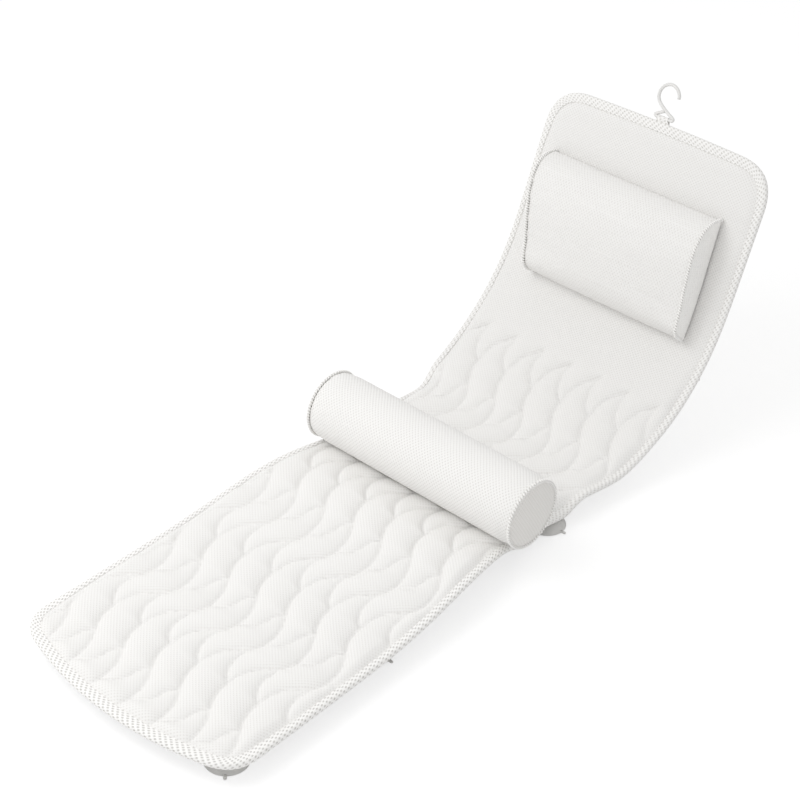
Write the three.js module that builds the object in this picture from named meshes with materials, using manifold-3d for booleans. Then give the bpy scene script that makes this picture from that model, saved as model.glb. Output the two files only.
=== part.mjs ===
// Full body bath pillow: a quilted mat of open mesh that lies along the floor of a bathtub and
// climbs its sloping end, with a head pillow, a bolster for the legs, suction cups and a hook.
// Millimetres. X runs across the mat, Y from the foot end to the head, Z up.
// A place on the mat is given as x across, s along its middle layer and n square to it.

import * as THREE from 'three';
import { mergeVertices } from 'three/addons/utils/BufferGeometryUtils.js';
import Module from 'manifold-3d';

// Driving dimensions: the mat's outline
const MAT_WIDTH = 390;
const MAT_LENGTH = 1276;
const WAIST_SHARE = 0.13;
const WAIST_CENTRE = 613;
const WAIST_SPREAD = 170;
const FOOT_BOW = 36;
const FOOT_CORNER = 34;
const HEAD_BOW = 4;
const HEAD_CORNER = 62;

// The line that the mat follows, seen from the side: a low hump, then the climb up the tub's end
const HUMP_HEIGHT = 17.8;
const HUMP_CENTRE = 455;
const HUMP_SPREAD = 123;
const BEND_START = 714;
const BEND_END = 1061;
const BEND_ANGLE_DEG = 68;
const BEND_EASE = 16;

// Where the mat folds
const FOOT_FOLD_AT = 450;
const BACK_FOLD_AT = 886;
const FOLD_GAP = 0.4;
const BACK_NOTCH_DEG = 23;

// Layers, as heights over the middle layer
const GAP = 0.3;
const BINDING_HALF = 5;
const BINDING_WALL = 1.6;
const BINDING_END_COVER = 14;
const BINDING_SIDE_COVER = 10;
const BINDING_TAPER_START = 30;
const BINDING_TAPER_END = 110;
const BINDING_SHOULDER = 3.2;
const BINDING_NOSE_HALF = 3;
const BINDING_LIP_DROP = 0.4;
const BASE_THICKNESS = 1.8;
const SPACER_THICKNESS = 2;
const STITCH_RISE = 1.6;
const PUFF_HEIGHT = 9.6;
const PUFF_WIDTH_POWER = 0.7;
const PUFF_EDGE_TAPER = 20;
const PRESS_CLEARANCE = 1.2;
const HEAD_MESH_RISE = 3;
const BACK_FOLD_DEPTH = 0.3;

// Quilting: wavy seams along the mat that split and meet, so that leaf shapes stand between them
const SEAM_PITCH = 52.45;
const SEAM_REPEAT = 184;
const FIRST_TIP_ALONG = 157.6;
const FIRST_TIP_ACROSS = -155.2;
const SEAM_LEAST_WIDTH = 0.8;
const ROWS_IN_REPEAT = 9;
const WAVE_SHARES = [
  [0.144, 0.219], [0.278, 0.133], [0.389, -0.086], [0.533, -0.381], [0.706, -0.476],
  [0.861, -0.371], [0.944, -0.143], [1.0, 0.067], [1.056, 0.162],
];
const LEAF_OPENS_SHARE = 0.111;
const LEAF_FULL_SHARE = 0.422;
const LEAF_PARTS_SHARE = 0.656;
const LEAF_OPEN_SWELL_SHARE = 0.08;
const LEAF_CLOSE_SWELL_SHARE = 0.05;

// Suction cups
const CUP_RIM_RADIUS = 29.5;
const CUP_RIM_BAND = 3;
const CUP_RIM_EDGE = 1.2;
const CUP_DEPTH = 30;
const CUP_DOME_HEIGHT = 16;
const CUP_WALL = 2.6;
const CUP_NECK_RADIUS = 4.4;
const CUP_HEAD_RADIUS = 8;
const CUP_HEAD_THICKNESS = 2;
const CUP_HEAD_BEVEL_SHARE = 0.7;
const CUP_HOLLOW_SHARES = [0.62, 0.56];
const CUP_SHOULDER_SHARES = [0.76, 0.58];
const CUP_CROWN_SHARES = [0.3, 0.95];
const CUP_NIB_LENGTH = 6.5;
const CUP_NIB_WIDTH = 5;
const CUP_SIDES = 14;
const CUP_DRILL_LENGTH = 20;
const CUP_EDGE_INSET = 48;
const CUP_CORNER_NIB_DEG = -48;
const CUP_ROWS_ALONG = { foot_end: 31, foot_inner: 287, seat: 650, back_low: 960, head: 1225 };
const CUP_CENTRES_ALONG = { foot_centre: 159, seat_centre: 720, back_centre: 1095 };

// Bolster
const BOLSTER_RADIUS = 52.5;
const BOLSTER_LENGTH = 362;
const BOLSTER_ALONG = 544;
const BOLSTER_ACROSS = 12;
const BOLSTER_FLAT = 51.4;
const BOLSTER_END_DRAW = 1.8;
const BOLSTER_DRAW_LENGTH = 22;
const COVER_WALL = 2.4;
const PIPING_RADIUS = 1.9;
const PIPING_SIDES = 6;
const DISC_CROWN = 5;
const BOLSTER_SIDES = 24;

// Head pillow
const PILLOW_START = 1000;
const PILLOW_HEIGHT = 184;
const PILLOW_DEPTH = 53.9;
const PILLOW_WIDTH_TOP = 301;
const PILLOW_WIDTH_BOTTOM = 280;
const PILLOW_SKEW = 18;
const PILLOW_CROWN = 4;
const PILLOW_STATIONS = 10;
const PILLOW_SHARES = [
  [0, 0], [0, 0.2], [0.012, 0.42], [0.05, 0.62], [0.12, 0.7], [0.25, 0.765], [0.4, 0.87],
  [0.55, 0.95], [0.69, 1], [0.81, 0.93], [0.9, 0.78], [0.965, 0.5], [1, 0.12], [1, 0],
  [0.8, 0], [0.5, 0], [0.33, 0], [0.16, 0],
];
const PILLOW_FRONT_POINTS = 13;
const PILLOW_SEAM_STEPS = 18;

// Hook-and-loop strips
const STRIP_THICKNESS = 1.1;
const SEAT_STRIP_LENGTH = 250;
const SEAT_STRIP_WIDTH = 25;
const BACK_STRIP_LENGTH = 200;
const BACK_STRIP_WIDTH = 40;
const BACK_STRIP_ALONG = 1130;

// Hanging hook of round wire, and the tab that holds it
const HOOK_WIRE_RADIUS = 1.8;
const HOOK_BAR_REACH = 10;
const HOOK_EYE_LEFT = 19.5;
const HOOK_EYE_RIGHT = 12;
const HOOK_BAR_END_X = 6;
const HOOK_EYE_JOIN_X = -5.8;
const HOOK_EYE_JOIN_RISE = 12;
const HOOK_STEM_TOP_X = -17.7;
const HOOK_STEM_TOP_RISE = 22;
const HOOK_LOOP_LEFT = 21.8;
const HOOK_LOOP_LEFT_RISE = 30;
const HOOK_LOOP_TOP_X = -9;
const HOOK_LOOP_TOP_RISE = 46;
const HOOK_LOOP_RIGHT_X = 7;
const HOOK_LOOP_RIGHT_RISE = 42;
const HOOK_TIP_X = 11.6;
const HOOK_TIP_RISE = 33;
const HOOK_CORNER_SHARE = 1 / 3;
const HOOK_KNUCKLE_SHARE = 1.1;
const HOOK_EYE_STEPS = 12;
const HOOK_STEM_STEPS = 24;
const HOOK_SIDES = 6;
const TAB_THICKNESS = 1.2;
const TAB_LEFT = -11;
const TAB_RIGHT = 3;
const TAB_FLARE = 5;
const TAB_ARC_STEPS = 8;

// How finely the long curves are cut
const STATION_PITCH = 20.4;
const SPINE_STEP = 2;
const END_STEPS = 5;
const OVERRUN = 40;

// Heights that follow from the layers
const SLOT_HALF = BINDING_HALF - BINDING_WALL;
const BASE_BOTTOM = -SLOT_HALF + GAP;
const BASE_TOP = BASE_BOTTOM + BASE_THICKNESS;
const SPACER_BOTTOM = BASE_TOP + GAP;
const SPACER_TOP = SPACER_BOTTOM + SPACER_THICKNESS;
const TOP_BOTTOM = SPACER_TOP + GAP;
const TOP_EDGE = SLOT_HALF - GAP;
const STITCH_LEVEL = TOP_BOTTOM + STITCH_RISE;
const HEAD_MESH_TOP = TOP_EDGE + HEAD_MESH_RISE;
const LAYER_INSET = BINDING_WALL + GAP;
const BACK_FOLD_LEVEL = -BINDING_HALF - BACK_FOLD_DEPTH;
const BACK_LEAN = Math.tan(THREE.MathUtils.degToRad(BACK_NOTCH_DEG / 2));
const HALF_WIDTH = MAT_WIDTH / 2;

const wasm = await Module();
wasm.setup();

// Colours as they look in even light
const COLOURS = {
  mesh: { color: 0xf1f0ee, roughness: 0.92, metalness: 0 },
  binding: { color: 0xeceae7, roughness: 0.95, metalness: 0 },
  foam: { color: 0xf4f1e6, roughness: 1, metalness: 0 },
  strip: { color: 0xe9e8e4, roughness: 1, metalness: 0 },
  bead: { color: 0xf4f3f1, roughness: 0.9, metalness: 0 },
  cup: { color: 0xb6b4b0, roughness: 0.25, metalness: 0 },
  hook: { color: 0xf2f1ee, roughness: 0.3, metalness: 0 },
};

// The mat's side line

function easedRamp(distance) {
  return BEND_EASE * Math.log1p(Math.exp(distance / BEND_EASE));
}

function spineAngle(s) {
  const fromHump = (s - HUMP_CENTRE) / HUMP_SPREAD;
  const humpSlope = -2 * fromHump * Math.exp(-fromHump * fromHump) * HUMP_HEIGHT / HUMP_SPREAD;
  const turned = (easedRamp(s - BEND_START) - easedRamp(s - BEND_END)) / (BEND_END - BEND_START);
  return Math.atan(humpSlope) + THREE.MathUtils.degToRad(BEND_ANGLE_DEG) * turned;
}

const spineTable = [{ y: 0, z: 0 }];
for (let s = 0; s < MAT_LENGTH; s += SPINE_STEP) {
  const last = spineTable[spineTable.length - 1];
  const angle = spineAngle(s + SPINE_STEP / 2);
  spineTable.push({ y: last.y + SPINE_STEP * Math.cos(angle), z: last.z + SPINE_STEP * Math.sin(angle) });
}

function spine(s) {
  const index = THREE.MathUtils.clamp(Math.floor(s / SPINE_STEP), 0, spineTable.length - 1);
  const from = spineTable[index];
  const angle = spineAngle(s);
  const rest = s - index * SPINE_STEP;
  return { y: from.y + rest * Math.cos(angle), z: from.z + rest * Math.sin(angle), angle };
}

function lay(x, s, n) {
  const at = spine(s);
  return new THREE.Vector3(x, at.y - n * Math.sin(at.angle), at.z + n * Math.cos(at.angle));
}

function halfWidth(s) {
  const fromWaist = (s - WAIST_CENTRE) / WAIST_SPREAD;
  return HALF_WIDTH * (1 - WAIST_SHARE * Math.exp(-fromWaist * fromWaist));
}

// Closed bodies from points and triangles

function body(points, triangles) {
  let volume = 0;
  for (const [a, b, c] of triangles) {
    volume += points[a].dot(points[b].clone().cross(points[c]));
  }
  const index = volume < 0 ? triangles.flatMap(([a, b, c]) => [a, c, b]) : triangles.flat();
  const geometry = new THREE.BufferGeometry();
  geometry.setAttribute('position', new THREE.Float32BufferAttribute(points.flatMap((p) => p.toArray()), 3));
  geometry.setIndex(index);
  return geometry;
}

function quad(triangles, a, b, c, d) {
  triangles.push([a, b, c], [a, c, d]);
}

// Rows of points on the right hand side, from the bottom up, are mirrored to the left
function mirroredLoft(rows) {
  const points = [];
  const triangles = [];
  const count = rows[0].length;
  for (const row of rows) {
    for (const [x, s, n] of row) {
      points.push(lay(x, s, n));
      points.push(lay(-x, s, n));
    }
  }
  const right = (k, i) => 2 * (k * count + i);
  const left = (k, i) => right(k, i) + 1;
  for (let k = 0; k + 1 < rows.length; k += 1) {
    for (let i = 0; i + 1 < count; i += 1) {
      quad(triangles, right(k, i), right(k + 1, i), right(k + 1, i + 1), right(k, i + 1));
      quad(triangles, left(k, i), left(k, i + 1), left(k + 1, i + 1), left(k + 1, i));
    }
    quad(triangles, right(k, count - 1), right(k + 1, count - 1), left(k + 1, count - 1), left(k, count - 1));
    quad(triangles, right(k, 0), left(k, 0), left(k + 1, 0), right(k + 1, 0));
  }
  const last = rows.length - 1;
  for (let i = 0; i + 1 < count; i += 1) {
    quad(triangles, right(0, i), right(0, i + 1), left(0, i + 1), left(0, i));
    quad(triangles, right(last, i), left(last, i), left(last, i + 1), right(last, i + 1));
  }
  return body(points, triangles);
}

// Rings of points joined one after the other, with flat ends cut along the outline's shape
function ringLoft(rings, outline) {
  const points = rings.flat();
  const triangles = [];
  const count = rings[0].length;
  for (let k = 0; k + 1 < rings.length; k += 1) {
    for (let i = 0; i < count; i += 1) {
      const j = (i + 1) % count;
      quad(triangles, k * count + i, k * count + j, (k + 1) * count + j, (k + 1) * count + i);
    }
  }
  const cap = THREE.ShapeUtils.triangulateShape(outline, []);
  const turn = THREE.ShapeUtils.isClockWise(outline) ? 1 : -1;
  const end = (rings.length - 1) * count;
  for (const [a, b, c] of cap) {
    triangles.push(turn > 0 ? [a, b, c] : [a, c, b]);
    triangles.push(turn > 0 ? [end + a, end + c, end + b] : [end + a, end + b, end + c]);
  }
  return body(points, orient(points, triangles));
}

// Turns the triangles so that neighbours run along their shared edge in opposite ways
function orient(points, triangles) {
  const owners = new Map();
  triangles.forEach((triangle, index) => {
    for (let i = 0; i < 3; i += 1) {
      const a = triangle[i];
      const b = triangle[(i + 1) % 3];
      const key = a < b ? `${a} ${b}` : `${b} ${a}`;
      if (!owners.has(key)) owners.set(key, []);
      owners.get(key).push({ index, forward: a < b });
    }
  });
  const flip = new Array(triangles.length).fill(null);
  flip[0] = false;
  const queue = [0];
  while (queue.length > 0) {
    const current = queue.pop();
    for (let i = 0; i < 3; i += 1) {
      const a = triangles[current][i];
      const b = triangles[current][(i + 1) % 3];
      const pair = owners.get(a < b ? `${a} ${b}` : `${b} ${a}`);
      const mine = pair.find((entry) => entry.index === current);
      const other = pair.find((entry) => entry.index !== current);
      if (other && flip[other.index] === null) {
        const same = mine.forward === other.forward;
        flip[other.index] = same ? !flip[current] : flip[current];
        queue.push(other.index);
      }
    }
  }
  return triangles.map(([a, b, c], index) => (flip[index] ? [a, c, b] : [a, b, c]));
}

// An open sleeve: an outer and an inner wall with a flat rim at each end
function sleeve(outerRings, innerRings) {
  const points = [...outerRings.flat(), ...innerRings.flat()];
  const triangles = [];
  const count = outerRings[0].length;
  const inner = outerRings.length * count;
  const last = (outerRings.length - 1) * count;
  for (let i = 0; i < count; i += 1) {
    const j = (i + 1) % count;
    for (let k = 0; k + 1 < outerRings.length; k += 1) {
      const a = k * count;
      const b = (k + 1) * count;
      quad(triangles, a + i, a + j, b + j, b + i);
      quad(triangles, inner + a + i, inner + b + i, inner + b + j, inner + a + j);
    }
    quad(triangles, i, inner + i, inner + j, j);
    quad(triangles, last + i, last + j, inner + last + j, inner + last + i);
  }
  return body(points, triangles);
}

// A ring of round cord that closes on itself
function closedCord(path, radius, sides) {
  const centre = path.reduce((sum, p) => sum.add(p), new THREE.Vector3()).divideScalar(path.length);
  const points = [];
  const triangles = [];
  path.forEach((point) => {
    const out = point.clone().sub(centre).normalize();
    for (let i = 0; i < sides; i += 1) {
      const turn = 2 * Math.PI * i / sides;
      const offset = out.clone().multiplyScalar(radius * Math.cos(turn));
      offset.x += radius * Math.sin(turn);
      points.push(point.clone().add(offset));
    }
  });
  for (let k = 0; k < path.length; k += 1) {
    const next = (k + 1) % path.length;
    for (let i = 0; i < sides; i += 1) {
      const j = (i + 1) % sides;
      quad(triangles, k * sides + i, k * sides + j, next * sides + j, next * sides + i);
    }
  }
  return body(points, triangles);
}

// Booleans

function toManifold(geometry) {
  const plain = geometry.clone();
  plain.deleteAttribute('normal');
  plain.deleteAttribute('uv');
  const merged = mergeVertices(plain);
  return new wasm.Manifold(new wasm.Mesh({
    numProp: 3,
    vertProperties: new Float32Array(merged.attributes.position.array),
    triVerts: new Uint32Array(merged.index.array),
  }));
}

function fromManifold(solid) {
  const mesh = solid.getMesh();
  const geometry = new THREE.BufferGeometry();
  geometry.setAttribute('position', new THREE.BufferAttribute(new Float32Array(mesh.vertProperties), 3));
  geometry.setIndex(new THREE.BufferAttribute(new Uint32Array(mesh.triVerts), 1));
  return geometry;
}

// The mat's outline: the right half from the middle of an end to its side

// How far the binding reaches over the mat, given the distance from the nearer end
function coverWidth(fromEnd) {
  const share = THREE.MathUtils.smoothstep(fromEnd, BINDING_TAPER_START, BINDING_TAPER_END);
  return THREE.MathUtils.lerp(BINDING_END_COVER, BINDING_SIDE_COVER, share);
}

function endOutline(bow, corner, insetAt) {
  const slope = 2 * bow / HALF_WIDTH;
  const bowEnd = HALF_WIDTH - corner;
  const bowRise = bow * (1 - (bowEnd / HALF_WIDTH) ** 2);
  const path = new THREE.Path();
  path.moveTo(0, bow);
  path.quadraticCurveTo(bowEnd / 2, bow, bowEnd, bowRise);
  const cornerRise = bowRise - slope * (bowEnd / HALF_WIDTH) * corner;
  path.quadraticCurveTo(HALF_WIDTH, cornerRise, HALF_WIDTH, cornerRise - corner);
  const points = [];
  path.curves.forEach((curve) => {
    for (let i = 1; i <= END_STEPS; i += 1) {
      const at = curve.getPoint(i / END_STEPS);
      const along = curve.getTangent(i / END_STEPS);
      const inset = insetAt(-at.y);
      points.push({ x: at.x + along.y * inset, out: at.y - along.x * inset });
    }
  });
  return points;
}

function sideStations(from, to) {
  const count = Math.ceil((to - from) / STATION_PITCH);
  return Array.from({ length: count + 1 }, (unused, k) => from + (to - from) * k / count);
}

// Right half of the foot, seat or back, from its free end or first fold to its last one.
// It lies inside the mat's edge by an inset and a share of the binding's reach.
function halfOutline(section, inset, coverShare) {
  const insetAt = (fromEnd) => inset + coverShare * coverWidth(fromEnd);
  const side = (s) => ({ x: halfWidth(s) - insetAt(Math.min(s, MAT_LENGTH - s)), s });
  if (section === 'seat') {
    return sideStations(FOOT_FOLD_AT + FOLD_GAP / 2, BACK_FOLD_AT - FOLD_GAP / 2).map(side);
  }
  const isFoot = section === 'foot';
  const end = isFoot ? endOutline(FOOT_BOW, FOOT_CORNER, insetAt)
    : endOutline(HEAD_BOW, HEAD_CORNER, insetAt);
  const endPoints = end.map(({ x, out }) => ({ x, s: isFoot ? -out : MAT_LENGTH + out }));
  const sideStart = endPoints[endPoints.length - 1].s;
  const fold = isFoot ? FOOT_FOLD_AT - FOLD_GAP / 2 : BACK_FOLD_AT + FOLD_GAP / 2;
  const stations = isFoot ? sideStations(sideStart, fold) : sideStations(fold, sideStart).reverse();
  return [...endPoints, ...stations.slice(1).map(side)];
}

// Both sides of the notch over the back's fold lean away from it
function leanAtFold(s, n) {
  const distance = s - BACK_FOLD_AT;
  if (Math.abs(distance) > FOLD_GAP) return s;
  return s + Math.sign(distance) * BACK_LEAN * (n - BACK_FOLD_LEVEL);
}

// A flat layer, or one with a step, given from the bottom up as inset, share of the reach and height
function layer(section, steps) {
  const outlines = steps.map(([inset, coverShare]) => halfOutline(section, inset, coverShare));
  const rows = outlines[0].map((unused, k) => steps.map(([, , n], i) => {
    const { x, s } = outlines[i][k];
    return [x, leanAtFold(s, n), n];
  }));
  return mirroredLoft(rows);
}

// The binding: a folded band of mesh, a channel in section, that takes in the edge of the layers
const LIP_LEVEL = BINDING_HALF - BINDING_LIP_DROP;
const BINDING_SECTION = [
  [0, 1, SLOT_HALF], [0, 1, LIP_LEVEL], [BINDING_SHOULDER, 0, BINDING_HALF],
  [0, 0, BINDING_NOSE_HALF], [0, 0, -BINDING_NOSE_HALF], [BINDING_SHOULDER, 0, -BINDING_HALF],
  [0, 1, -LIP_LEVEL], [0, 1, -SLOT_HALF], [BINDING_WALL, 0, -SLOT_HALF], [BINDING_WALL, 0, SLOT_HALF],
];

function bindingRings(section) {
  const outlines = BINDING_SECTION.map(([inset, coverShare]) => halfOutline(section, inset, coverShare));
  return outlines[0].map((unused, k) => BINDING_SECTION.map(([, , n], i) => {
    const { x, s } = outlines[i][k];
    return { x, s: leanAtFold(s, n), n };
  }));
}

function binding(section, sides) {
  const rings = bindingRings(section);
  const place = (ring, side) => ring.map(({ x, s, n }) => lay(side * x, s, n));
  const outline = BINDING_SECTION.map(([inset, coverShare, n]) => (
    new THREE.Vector2(inset + coverShare * BINDING_SIDE_COVER, n)));
  if (sides !== 0) return ringLoft(rings.map((ring) => place(ring, sides)), outline);
  const left = rings.slice().reverse().map((ring) => place(ring, -1));
  const right = rings.map((ring) => place(ring, 1));
  return ringLoft([...left, ...right], outline);
}

// Quilting

function waveAt(share) {
  const first = WAVE_SHARES[0][0];
  const wrapped = first + (((share - first) % 1) + 1) % 1;
  const count = WAVE_SHARES.length;
  const knot = (i) => {
    const lap = Math.floor(i / count);
    const [along, across] = WAVE_SHARES[((i % count) + count) % count];
    return [along + lap, across];
  };
  let i = 0;
  while (knot(i + 1)[0] <= wrapped) i += 1;
  const [before, start, stop, after] = [knot(i - 1), knot(i), knot(i + 1), knot(i + 2)];
  const span = stop[0] - start[0];
  const t = (wrapped - start[0]) / span;
  const slopeIn = span * (stop[1] - before[1]) / (stop[0] - before[0]);
  const slopeOut = span * (after[1] - start[1]) / (after[0] - start[0]);
  return (2 * t ** 3 - 3 * t ** 2 + 1) * start[1] + (t ** 3 - 2 * t ** 2 + t) * slopeIn
    + (3 * t ** 2 - 2 * t ** 3) * stop[1] + (t ** 3 - t ** 2) * slopeOut;
}

// How far the second seam has gone from its own wave to the next one, from 0 to 1
function splitAt(share) {
  const at = ((share % 1) + 1) % 1;
  if (at < LEAF_OPENS_SHARE) return 0;
  if (at < LEAF_FULL_SHARE) {
    const t = (at - LEAF_OPENS_SHARE) / (LEAF_FULL_SHARE - LEAF_OPENS_SHARE);
    return t + LEAF_OPEN_SWELL_SHARE * Math.sin(2 * Math.PI * t);
  }
  if (at < LEAF_PARTS_SHARE) return 1;
  const t = (at - LEAF_PARTS_SHARE) / (1 - LEAF_PARTS_SHARE);
  return 1 - t - LEAF_CLOSE_SWELL_SHARE * Math.sin(2 * Math.PI * t);
}

function seamX(column, s) {
  const share = (s - FIRST_TIP_ALONG) / SEAM_REPEAT;
  return FIRST_TIP_ACROSS + SEAM_PITCH * (column + waveAt(share));
}

const bolsterSeat = spine(BOLSTER_ALONG);
const STRIP_LEVEL = {};
STRIP_LEVEL.seatLoop = TOP_EDGE + STITCH_RISE + STRIP_THICKNESS;
STRIP_LEVEL.seatHook = STRIP_LEVEL.seatLoop + STRIP_THICKNESS + GAP;
STRIP_LEVEL.backLoop = HEAD_MESH_TOP + GAP;
STRIP_LEVEL.backHook = STRIP_LEVEL.backLoop + STRIP_THICKNESS + GAP;
const BOLSTER_BASE = STRIP_LEVEL.seatHook + STRIP_THICKNESS + GAP;
const PILLOW_BASE = STRIP_LEVEL.backHook + STRIP_THICKNESS + GAP;
const bolsterCentre = lay(BOLSTER_ACROSS, BOLSTER_ALONG, BOLSTER_BASE + BOLSTER_FLAT);

// The highest that the quilting may stand under the bolster and its strip
function pressedLevel(x, s) {
  const at = spine(s);
  const dy = bolsterCentre.y - at.y;
  const dz = bolsterCentre.z - at.z;
  const along = dy * Math.cos(at.angle) + dz * Math.sin(at.angle);
  const across = dz * Math.cos(at.angle) - dy * Math.sin(at.angle);
  const reach = BOLSTER_RADIUS + PRESS_CLEARANCE;
  const rowPitch = SEAM_REPEAT / ROWS_IN_REPEAT;
  let level = Infinity;
  if (Math.abs(along) < reach) level = across - Math.sqrt(reach * reach - along * along);
  if (Math.abs(s - BOLSTER_ALONG) < SEAT_STRIP_WIDTH / 2 + rowPitch) {
    level = Math.min(level, STRIP_LEVEL.seatLoop - GAP);
  }
  return level;
}

function edgeDistance(section, x, s) {
  const side = halfWidth(s) - Math.abs(x);
  if (section !== 'foot') return side;
  const share = Math.min(Math.abs(x) / HALF_WIDTH, 1);
  return Math.min(side, s + FOOT_BOW * (1 - share * share));
}

function quiltRow(section, s) {
  const share = (s - FIRST_TIP_ALONG) / SEAM_REPEAT;
  const split = splitAt(share);
  const firstColumn = Math.floor((-HALF_WIDTH - FIRST_TIP_ACROSS) / SEAM_PITCH) - 1;
  const lastColumn = Math.ceil((HALF_WIDTH - FIRST_TIP_ACROSS) / SEAM_PITCH) + 1;
  const row = [];
  const cover = coverWidth(s);
  const puff = (width, x) => {
    const edge = THREE.MathUtils.smoothstep(edgeDistance(section, x, s), cover, cover + PUFF_EDGE_TAPER);
    return PUFF_HEIGHT * Math.pow(width / SEAM_PITCH, PUFF_WIDTH_POWER) * edge;
  };
  for (let column = firstColumn; column < lastColumn; column += 1) {
    const seam = seamX(column, s);
    const second = seam + THREE.MathUtils.clamp(split * SEAM_PITCH, 2 * SEAM_LEAST_WIDTH,
      SEAM_PITCH - 2 * SEAM_LEAST_WIDTH);
    const next = seam + SEAM_PITCH;
    const middleOne = (seam + second) / 2;
    const middleTwo = (second + next) / 2;
    row.push([seam, STITCH_LEVEL], [middleOne, STITCH_LEVEL + puff(second - seam, middleOne)]);
    row.push([second, STITCH_LEVEL], [middleTwo, STITCH_LEVEL + puff(next - second, middleTwo)]);
  }
  row.push([seamX(lastColumn, s), STITCH_LEVEL]);
  return row.map(([x, n]) => [x, Math.min(n, pressedLevel(x, s))]);
}

function quiltSlab(section, from, to) {
  const rowPitch = SEAM_REPEAT / ROWS_IN_REPEAT;
  const count = Math.ceil((to - from) / rowPitch);
  const rows = Array.from({ length: count + 1 }, (unused, k) => from + (to - from) * k / count);
  const points = [];
  const triangles = [];
  let width = 0;
  rows.forEach((s) => {
    const row = quiltRow(section, s);
    width = row.length;
    row.forEach(([x, n]) => points.push(lay(x, leanAtFold(s, n), n)));
    points.push(lay(row[0][0], leanAtFold(s, TOP_BOTTOM), TOP_BOTTOM));
    points.push(lay(row[width - 1][0], leanAtFold(s, TOP_BOTTOM), TOP_BOTTOM));
  });
  const stride = width + 2;
  for (let k = 0; k + 1 < rows.length; k += 1) {
    const a = k * stride;
    const b = a + stride;
    for (let i = 0; i + 1 < width; i += 1) quad(triangles, a + i, a + i + 1, b + i + 1, b + i);
    quad(triangles, a + width, b + width, b + width + 1, a + width + 1);
    quad(triangles, a, b, b + width, a + width);
    quad(triangles, a + width - 1, a + width + 1, b + width + 1, b + width - 1);
  }
  const last = (rows.length - 1) * stride;
  for (let i = 0; i + 1 < width; i += 1) {
    triangles.push([width, i + 1, i]);
    triangles.push([last + width, last + i, last + i + 1]);
  }
  triangles.push([width, width + 1, width - 1]);
  triangles.push([last + width, last + width - 1, last + width + 1]);
  return body(points, triangles);
}

function quiltedTop(section) {
  const isFoot = section === 'foot';
  const from = isFoot ? -FOOT_BOW : FOOT_FOLD_AT + FOLD_GAP / 2;
  const to = isFoot ? FOOT_FOLD_AT - FOLD_GAP / 2 : BACK_FOLD_AT - FOLD_GAP / 2;
  const slab = toManifold(quiltSlab(section, from, to));
  const trim = layer(section, [
    [LAYER_INSET, 0, -OVERRUN], [LAYER_INSET, 0, TOP_EDGE], [GAP, 1, TOP_EDGE], [GAP, 1, OVERRUN],
  ]);
  return fromManifold(slab.intersect(toManifold(trim)));
}

// Suction cups

function cupPlaces() {
  const places = [];
  const sideX = HALF_WIDTH - CUP_EDGE_INSET;
  for (const [row, s] of Object.entries(CUP_ROWS_ALONG)) {
    places.push({ name: `cup_${row}_right`, x: sideX, s });
    places.push({ name: `cup_${row}_left`, x: -sideX, s });
  }
  for (const [row, s] of Object.entries(CUP_CENTRES_ALONG)) places.push({ name: `cup_${row}`, x: 0, s });
  return places;
}

function sectionAt(s) {
  if (s < FOOT_FOLD_AT) return 'foot';
  return s < BACK_FOLD_AT ? 'seat' : 'back';
}

// Puts a geometry made about its own origin, with Z square to the mat, on its place
function settle(geometry, x, s, n) {
  const place = lay(x, s, n);
  return geometry.clone().rotateX(spine(s).angle).translate(place.x, place.y, place.z);
}

function cupGeometry() {
  const neckTop = CUP_DEPTH + BASE_TOP + GAP;
  const inner = CUP_RIM_RADIUS - CUP_RIM_BAND;
  const profile = [
    [0, CUP_DOME_HEIGHT - CUP_WALL],
    [inner * CUP_HOLLOW_SHARES[0], CUP_DOME_HEIGHT * CUP_HOLLOW_SHARES[1]],
    [inner, 0],
    [CUP_RIM_RADIUS, 0],
    [CUP_RIM_RADIUS, CUP_RIM_EDGE],
    [CUP_RIM_RADIUS * CUP_SHOULDER_SHARES[0], CUP_DOME_HEIGHT * CUP_SHOULDER_SHARES[1]],
    [CUP_RIM_RADIUS * CUP_CROWN_SHARES[0], CUP_DOME_HEIGHT * CUP_CROWN_SHARES[1]],
    [CUP_NECK_RADIUS, CUP_DOME_HEIGHT + CUP_RIM_EDGE],
    [CUP_NECK_RADIUS, neckTop],
    [CUP_HEAD_RADIUS, neckTop],
    [CUP_HEAD_RADIUS * CUP_HEAD_BEVEL_SHARE, neckTop + CUP_HEAD_THICKNESS],
    [0, neckTop + CUP_HEAD_THICKNESS],
  ].map(([radius, height]) => new THREE.Vector2(radius, height));
  const dome = new THREE.LatheGeometry(profile, CUP_SIDES).rotateX(Math.PI / 2);
  const nibInside = CUP_RIM_BAND / 2;
  const nib = new THREE.BoxGeometry(CUP_NIB_LENGTH + nibInside, CUP_NIB_WIDTH, CUP_RIM_EDGE)
    .translate(CUP_RIM_RADIUS + (CUP_NIB_LENGTH - nibInside) / 2, 0, CUP_RIM_EDGE / 2);
  return fromManifold(toManifold(dome).add(toManifold(nib)));
}

function drilled(geometry, section, radius) {
  const drill = new THREE.CylinderGeometry(radius, radius, CUP_DRILL_LENGTH, CUP_SIDES).rotateX(Math.PI / 2);
  let solid = toManifold(geometry);
  for (const { x, s } of cupPlaces()) {
    if (sectionAt(s) === section) solid = solid.subtract(toManifold(settle(drill, x, s, 0)));
  }
  return fromManifold(solid);
}

// Bolster

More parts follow.
